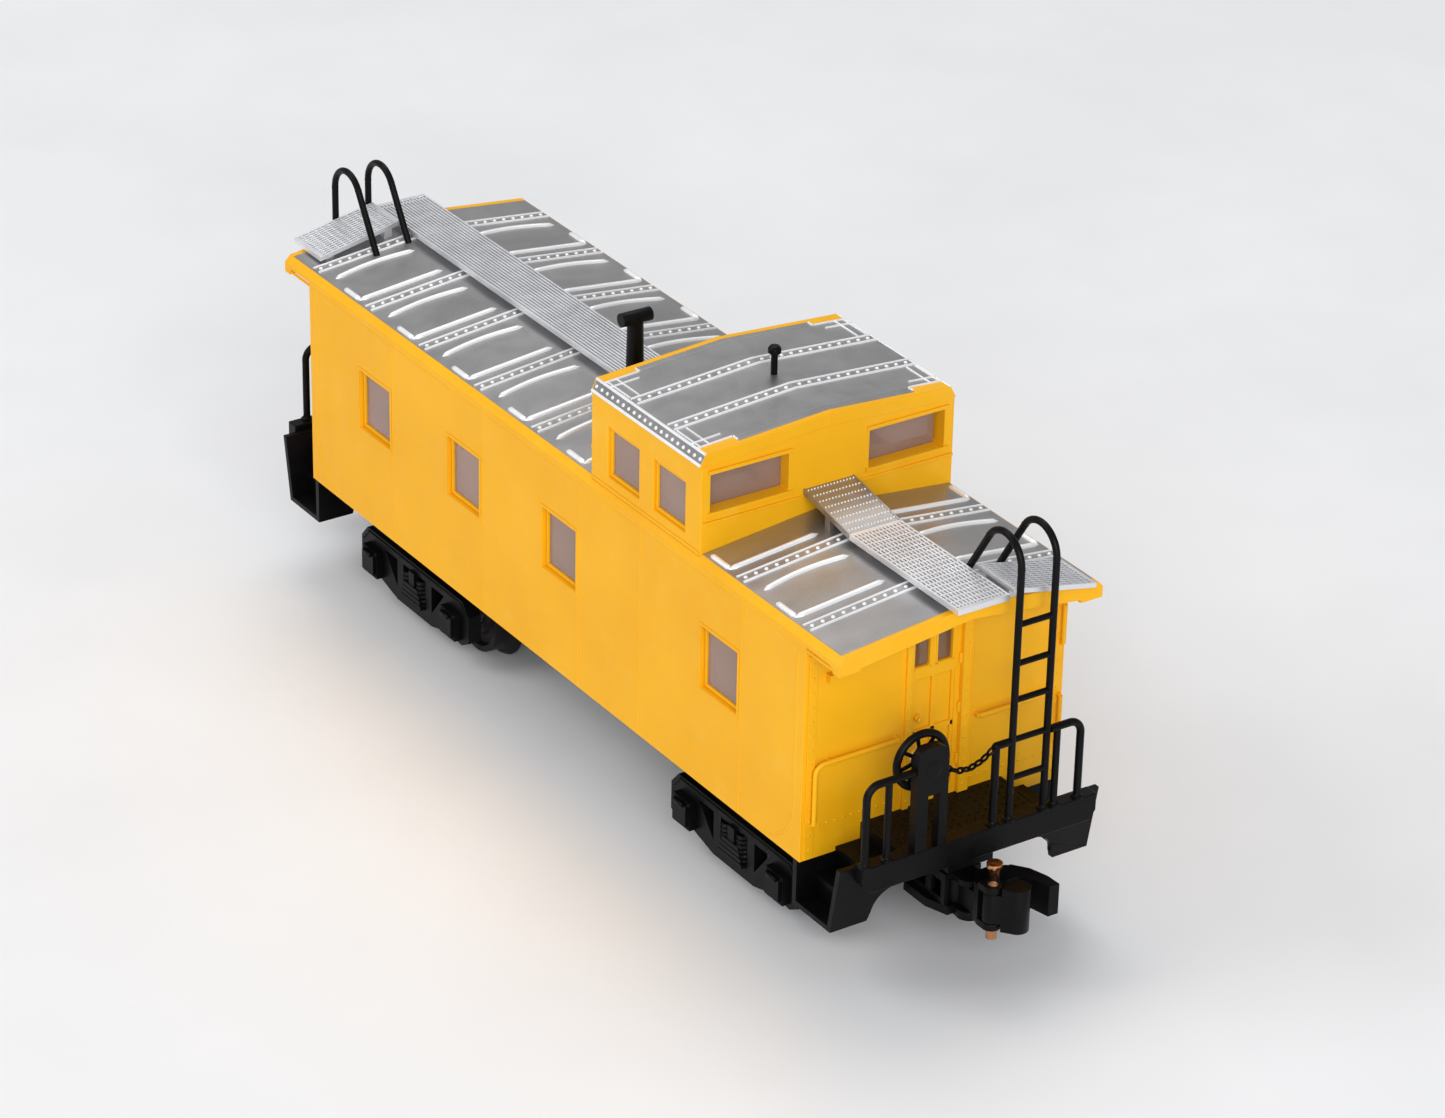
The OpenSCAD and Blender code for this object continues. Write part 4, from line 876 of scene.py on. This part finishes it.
def brake_wheel_looks(side, end):
    """Spoked hand wheel with a rolled rim, eight round spokes, a toothed ratchet behind it and a hub."""
    shape = Shape()
    centre = (WHEEL_LOW + WHEEL_HIGH) / 2
    rim = 0.26
    radius = (WHEEL_HIGH.z - WHEEL_LOW.z) / 2 - rim
    x = centre.x
    ring = [(x, centre.y + radius * math.cos(a), centre.z + radius * math.sin(a))
            for a in (2 * math.pi * k / 48 for k in range(49))]
    shape.tube(ring, rim, 10)
    for k in range(8):
        a = math.pi * k / 4 + 0.2
        out = Vector((0, math.cos(a), math.sin(a)))
        spoke = ((0.4, -0.05), (1.0, -0.02), (radius, 0))
        shape.tube([centre + out * r + Vector((dx, 0, 0)) for r, dx in spoke], 0.13, 8)
    # Toothed ratchet behind the wheel
    back = centre.x + 0.24
    teeth, hole = [], []
    for k in range(24):
        a = 2 * math.pi * k / 24
        r = 0.95 if k % 2 else 0.78
        teeth.append((back, centre.y + r * math.cos(a), centre.z + r * math.sin(a)))
        hole.append((back, centre.y + 0.37 * math.cos(a), centre.z + 0.37 * math.sin(a)))
    far = Vector((0.12, 0, 0))
    rings = [[Vector(p) for p in hole], [Vector(p) for p in teeth], [Vector(p) + far for p in teeth],
             [Vector(p) + far for p in hole], [Vector(p) for p in hole]]
    shape.rings(rings, closed=False)
    hub = [(0.36, -0.3), (0.55, -0.3), (0.62, -0.2), (0.62, 0.12), (0.5, 0.22), (0.36, 0.25)]
    shape.lathe((x, centre.y, centre.z), (1, 0, 0), hub, 20)
    wheel = f"brake_wheel_{end}"
    shape.at_end(side).make(f"brake_wheel_rim_{end}", wheel, BLACK, "frame_black", 0, (wheel,))


def stand_details(side, end):
    """Gear case and bolts on the brake stand."""
    shape = Shape()
    x = STAND_HIGH.x
    y = (STAND_LOW.y + STAND_HIGH.y) / 2
    z = (WHEEL_LOW.z + WHEEL_HIGH.z) / 2
    shape.lathe((x, y, z - 0.1), (1, 0, 0), [(0.62, -0.05), (0.62, 0.0), (0.55, 0.02), (0.3, 0.02)], 20)
    for dy in (-0.85, 0.85):
        for dz in (-3.2, -0.9, 0.75):
            shape.rivet((x - 0.01, y + dy, z + dz), (1, 0, 0), 0.12, 0.025)
    shape.at_end(side).make(f"stand_fittings_{end}", "car", BLACK, "frame_black", 0.02)


def platform_details(side, end):
    """Feet of the rails, studs of the deck and rivets of the end beam."""
    shape = Shape()
    rail_x = PLATFORM_HIGH.x - 0.35
    top = PLATFORM_HIGH.z
    foot = [(0.42, 0), (0.42, 0.12), (0.3, 0.2), (0.26, 0.3)]
    for y in (-8.45, -6.85, 1.0, 5.6, 7.4, 2.2, 4.8):
        shape.lathe((rail_x, y, top - 0.05), (0, 0, 1), foot, 12)
    for y in even(-8.2, 8.2, 1.1):
        for z in (PLATFORM_LOW.z + 0.45, top - 0.4):
            shape.rivet((PLATFORM_HIGH.x - 0.02, y, z), (1, 0, 0), 0.12, 0.03)
    for x in even(END_WALL_X + 0.5, 33.9, 0.55):
        for y in even(-4.6, 4.6, 0.62):
            shape.rivet((x, y, DECK_Z), (0, 0, 1), 0.1, 0.07, 6)
    shape.at_end(side).make(f"platform_fittings_{end}", "car", BLACK, "frame_black", 0)


# ---------------------------------------------------------------- trucks

TRUCK_X = 19.8
HALF_BASE = 5.25
AXLE_Z = 3.2
FRAME_Y = 6.6


def truck_details(side, end):
    """Coil springs, lid bolts and rivets on both side frames of a truck."""
    shape = Shape()
    for hand in (-1, 1):
        face = hand * (FRAME_Y + 1.0)
        for dx in (-0.85, 0.85):
            coil = []
            for i in range(73):
                turn = 2 * math.pi * i / 12
                x = TRUCK_X + dx + 0.42 * math.cos(turn)
                y = hand * (FRAME_Y + 0.75) + 0.42 * math.sin(turn)
                coil.append((x, y, 2.45 + 2.0 * i / 72))
            shape.tube(coil, 0.13, 6)
        for dx in (-HALF_BASE, HALF_BASE):
            for bolt in (-0.75, 0.75):
                for z in (AXLE_Z - 0.75, AXLE_Z + 0.85):
                    shape.rivet((TRUCK_X + dx + bolt, hand * (FRAME_Y + 1.5), z), (0, hand, 0), 0.13, 0.1)
            shape.lathe((TRUCK_X + dx, hand * (FRAME_Y + 1.68), AXLE_Z + 0.75), (1, 0, 0),
                        [(0.12, -0.5), (0.16, -0.45), (0.16, 0.45), (0.12, 0.5)], 10)
        for dx in (-3.6, -2.0, 2.0, 3.6):
            shape.rivet((TRUCK_X + dx, face, 4.95), (0, hand, 0), 0.13, 0.08)
        arch = ((-6.9, 4.3), (-6.2, 5.05), (0, 5.05), (6.2, 5.05), (6.9, 4.3))
        rib = [(TRUCK_X + dx, face, z) for dx, z in arch]
        shape.ridge(rib, (0, hand, 0), 0.1, 0.1)
    shape.at_end(side).make(f"truck_fittings_{end}", f"truck_{end}", BLACK, "frame_black")


# ---------------------------------------------------------------- stage, camera and lights


def make_floor():
    half = 1.5
    mesh = bpy.data.meshes.new("floor")
    corners = [(-half, -half, 0), (half, -half, 0), (half, half, 0), (-half, half, 0)]
    mesh.from_pydata(corners, [], [[0, 1, 2, 3]])
    mesh.materials.append(floor_surface())
    floor = bpy.data.objects.new("floor", mesh)
    bpy.context.scene.collection.objects.link(floor)


CAMERA_PLACE = Vector((0.2386, -0.1565, 0.1636))
CAMERA_AZIMUTH = 56.0
CAMERA_ELEVATION = 27.885
CAMERA_ROLL = 1.263
CAMERA_LENS = 122.9


def make_camera():
    azimuth, elevation = math.radians(CAMERA_AZIMUTH), math.radians(CAMERA_ELEVATION)
    roll = math.radians(CAMERA_ROLL)
    level = math.cos(elevation)
    back = Vector((math.sin(azimuth) * level, -math.cos(azimuth) * level, math.sin(elevation)))
    right = Vector((0, 0, 1)).cross(back).normalized()
    up = back.cross(right)
    tilted_right = right * math.cos(roll) + up * math.sin(roll)
    tilted_up = up * math.cos(roll) - right * math.sin(roll)
    data = bpy.data.cameras.new("camera")
    data.lens = CAMERA_LENS
    data.sensor_width = 36.0
    data.clip_start, data.clip_end = 0.01, 10
    camera = bpy.data.objects.new("camera", data)
    turn = Matrix((tilted_right, tilted_up, back)).transposed().to_4x4()
    camera.matrix_world = Matrix.Translation(CAMERA_PLACE) @ turn
    bpy.context.scene.collection.objects.link(camera)
    bpy.context.scene.camera = camera


def area_light(name, place, target, size, power, colour=(1, 1, 1)):
    data = bpy.data.lights.new(name, "AREA")
    data.shape = "RECTANGLE"
    data.size, data.size_y = size
    data.energy = power
    data.color = colour
    lamp = bpy.data.objects.new(name, data)
    aim = Vector(place) - Vector(target)
    lamp.matrix_world = Matrix.Translation(place) @ aim.to_track_quat("Z", "Y").to_matrix().to_4x4()
    bpy.context.scene.collection.objects.link(lamp)


def make_lights():
    """A light above and behind, a soft key from the left, a wide fill from the front and a pale room."""
    area_light("above", (-0.20, 0.14, 0.52), (0, 0, 0.02), (0.3, 0.3), 0.9)
    area_light("key", (-0.22, -0.42, 0.40), (0, 0, 0.01), (0.3, 0.3), 1.15, (1, 0.99, 0.97))
    area_light("fill", (0.58, -0.26, 0.28), (0, 0, 0.02), (0.5, 0.4), 3.0)
    world = bpy.data.worlds.new("studio")
    bpy.context.scene.world = world
    world.use_nodes = True
    nodes, links = world.node_tree.nodes, world.node_tree.links
    direction = nodes.new("ShaderNodeTexCoord").outputs["Generated"]
    split = nodes.new("ShaderNodeSeparateXYZ")
    ramp = nodes.new("ShaderNodeValToRGB")
    ramp.color_ramp.elements[0].color = (0.80, 0.80, 0.81, 1)
    ramp.color_ramp.elements[0].position = 0.3
    ramp.color_ramp.elements[1].color = (1, 1, 1, 1)
    ramp.color_ramp.elements[1].position = 0.95
    links.new(direction, split.inputs["Vector"])
    links.new(split.outputs["Z"], ramp.inputs["Fac"])
    links.new(ramp.outputs["Color"], nodes["Background"].inputs["Color"])
    nodes["Background"].inputs["Strength"].default_value = 0.45
    bpy.context.scene.view_settings.view_transform = "Standard"


# ---------------------------------------------------------------- assembly

dress_cad_nodes()
main_roof("roof_sheet_rear", "roof_rear", ROOF_LOW.x, CUPOLA_LOW.x, REAR_SEAMS,
          [(x, x + SEAM_PITCH) for x in REAR_SEAMS])
main_roof("roof_sheet_front", "roof_front", CUPOLA_HIGH.x, ROOF_END_X, FRONT_SEAMS,
          [(x - SEAM_PITCH, x) for x in FRONT_SEAMS])
cupola_roof()
running_grating("running_grating_front", "running_board_front", CUPOLA_HIGH.x, BOARD_HIGH.x, (24.2, 31.8))
running_grating("running_grating_rear", "running_board_rear", CUPOLA_LOW.x, -BOARD_HIGH.x,
                (-31.5, -19.3, -5.2))
ramp("ramp_front", CUPOLA_HIGH.x, 1)
ramp("ramp_rear", CUPOLA_LOW.x, -1)
side_details()
cupola_details()
glazing_bosses()
for side, end in ENDS:
    lateral_grating(side, end)
    end_details(side, end)
    chain_links(side, end)
    brake_wheel_looks(side, end)
    stand_details(side, end)
    platform_details(side, end)
    truck_details(side, end)
make_floor()
make_camera()
make_lights()
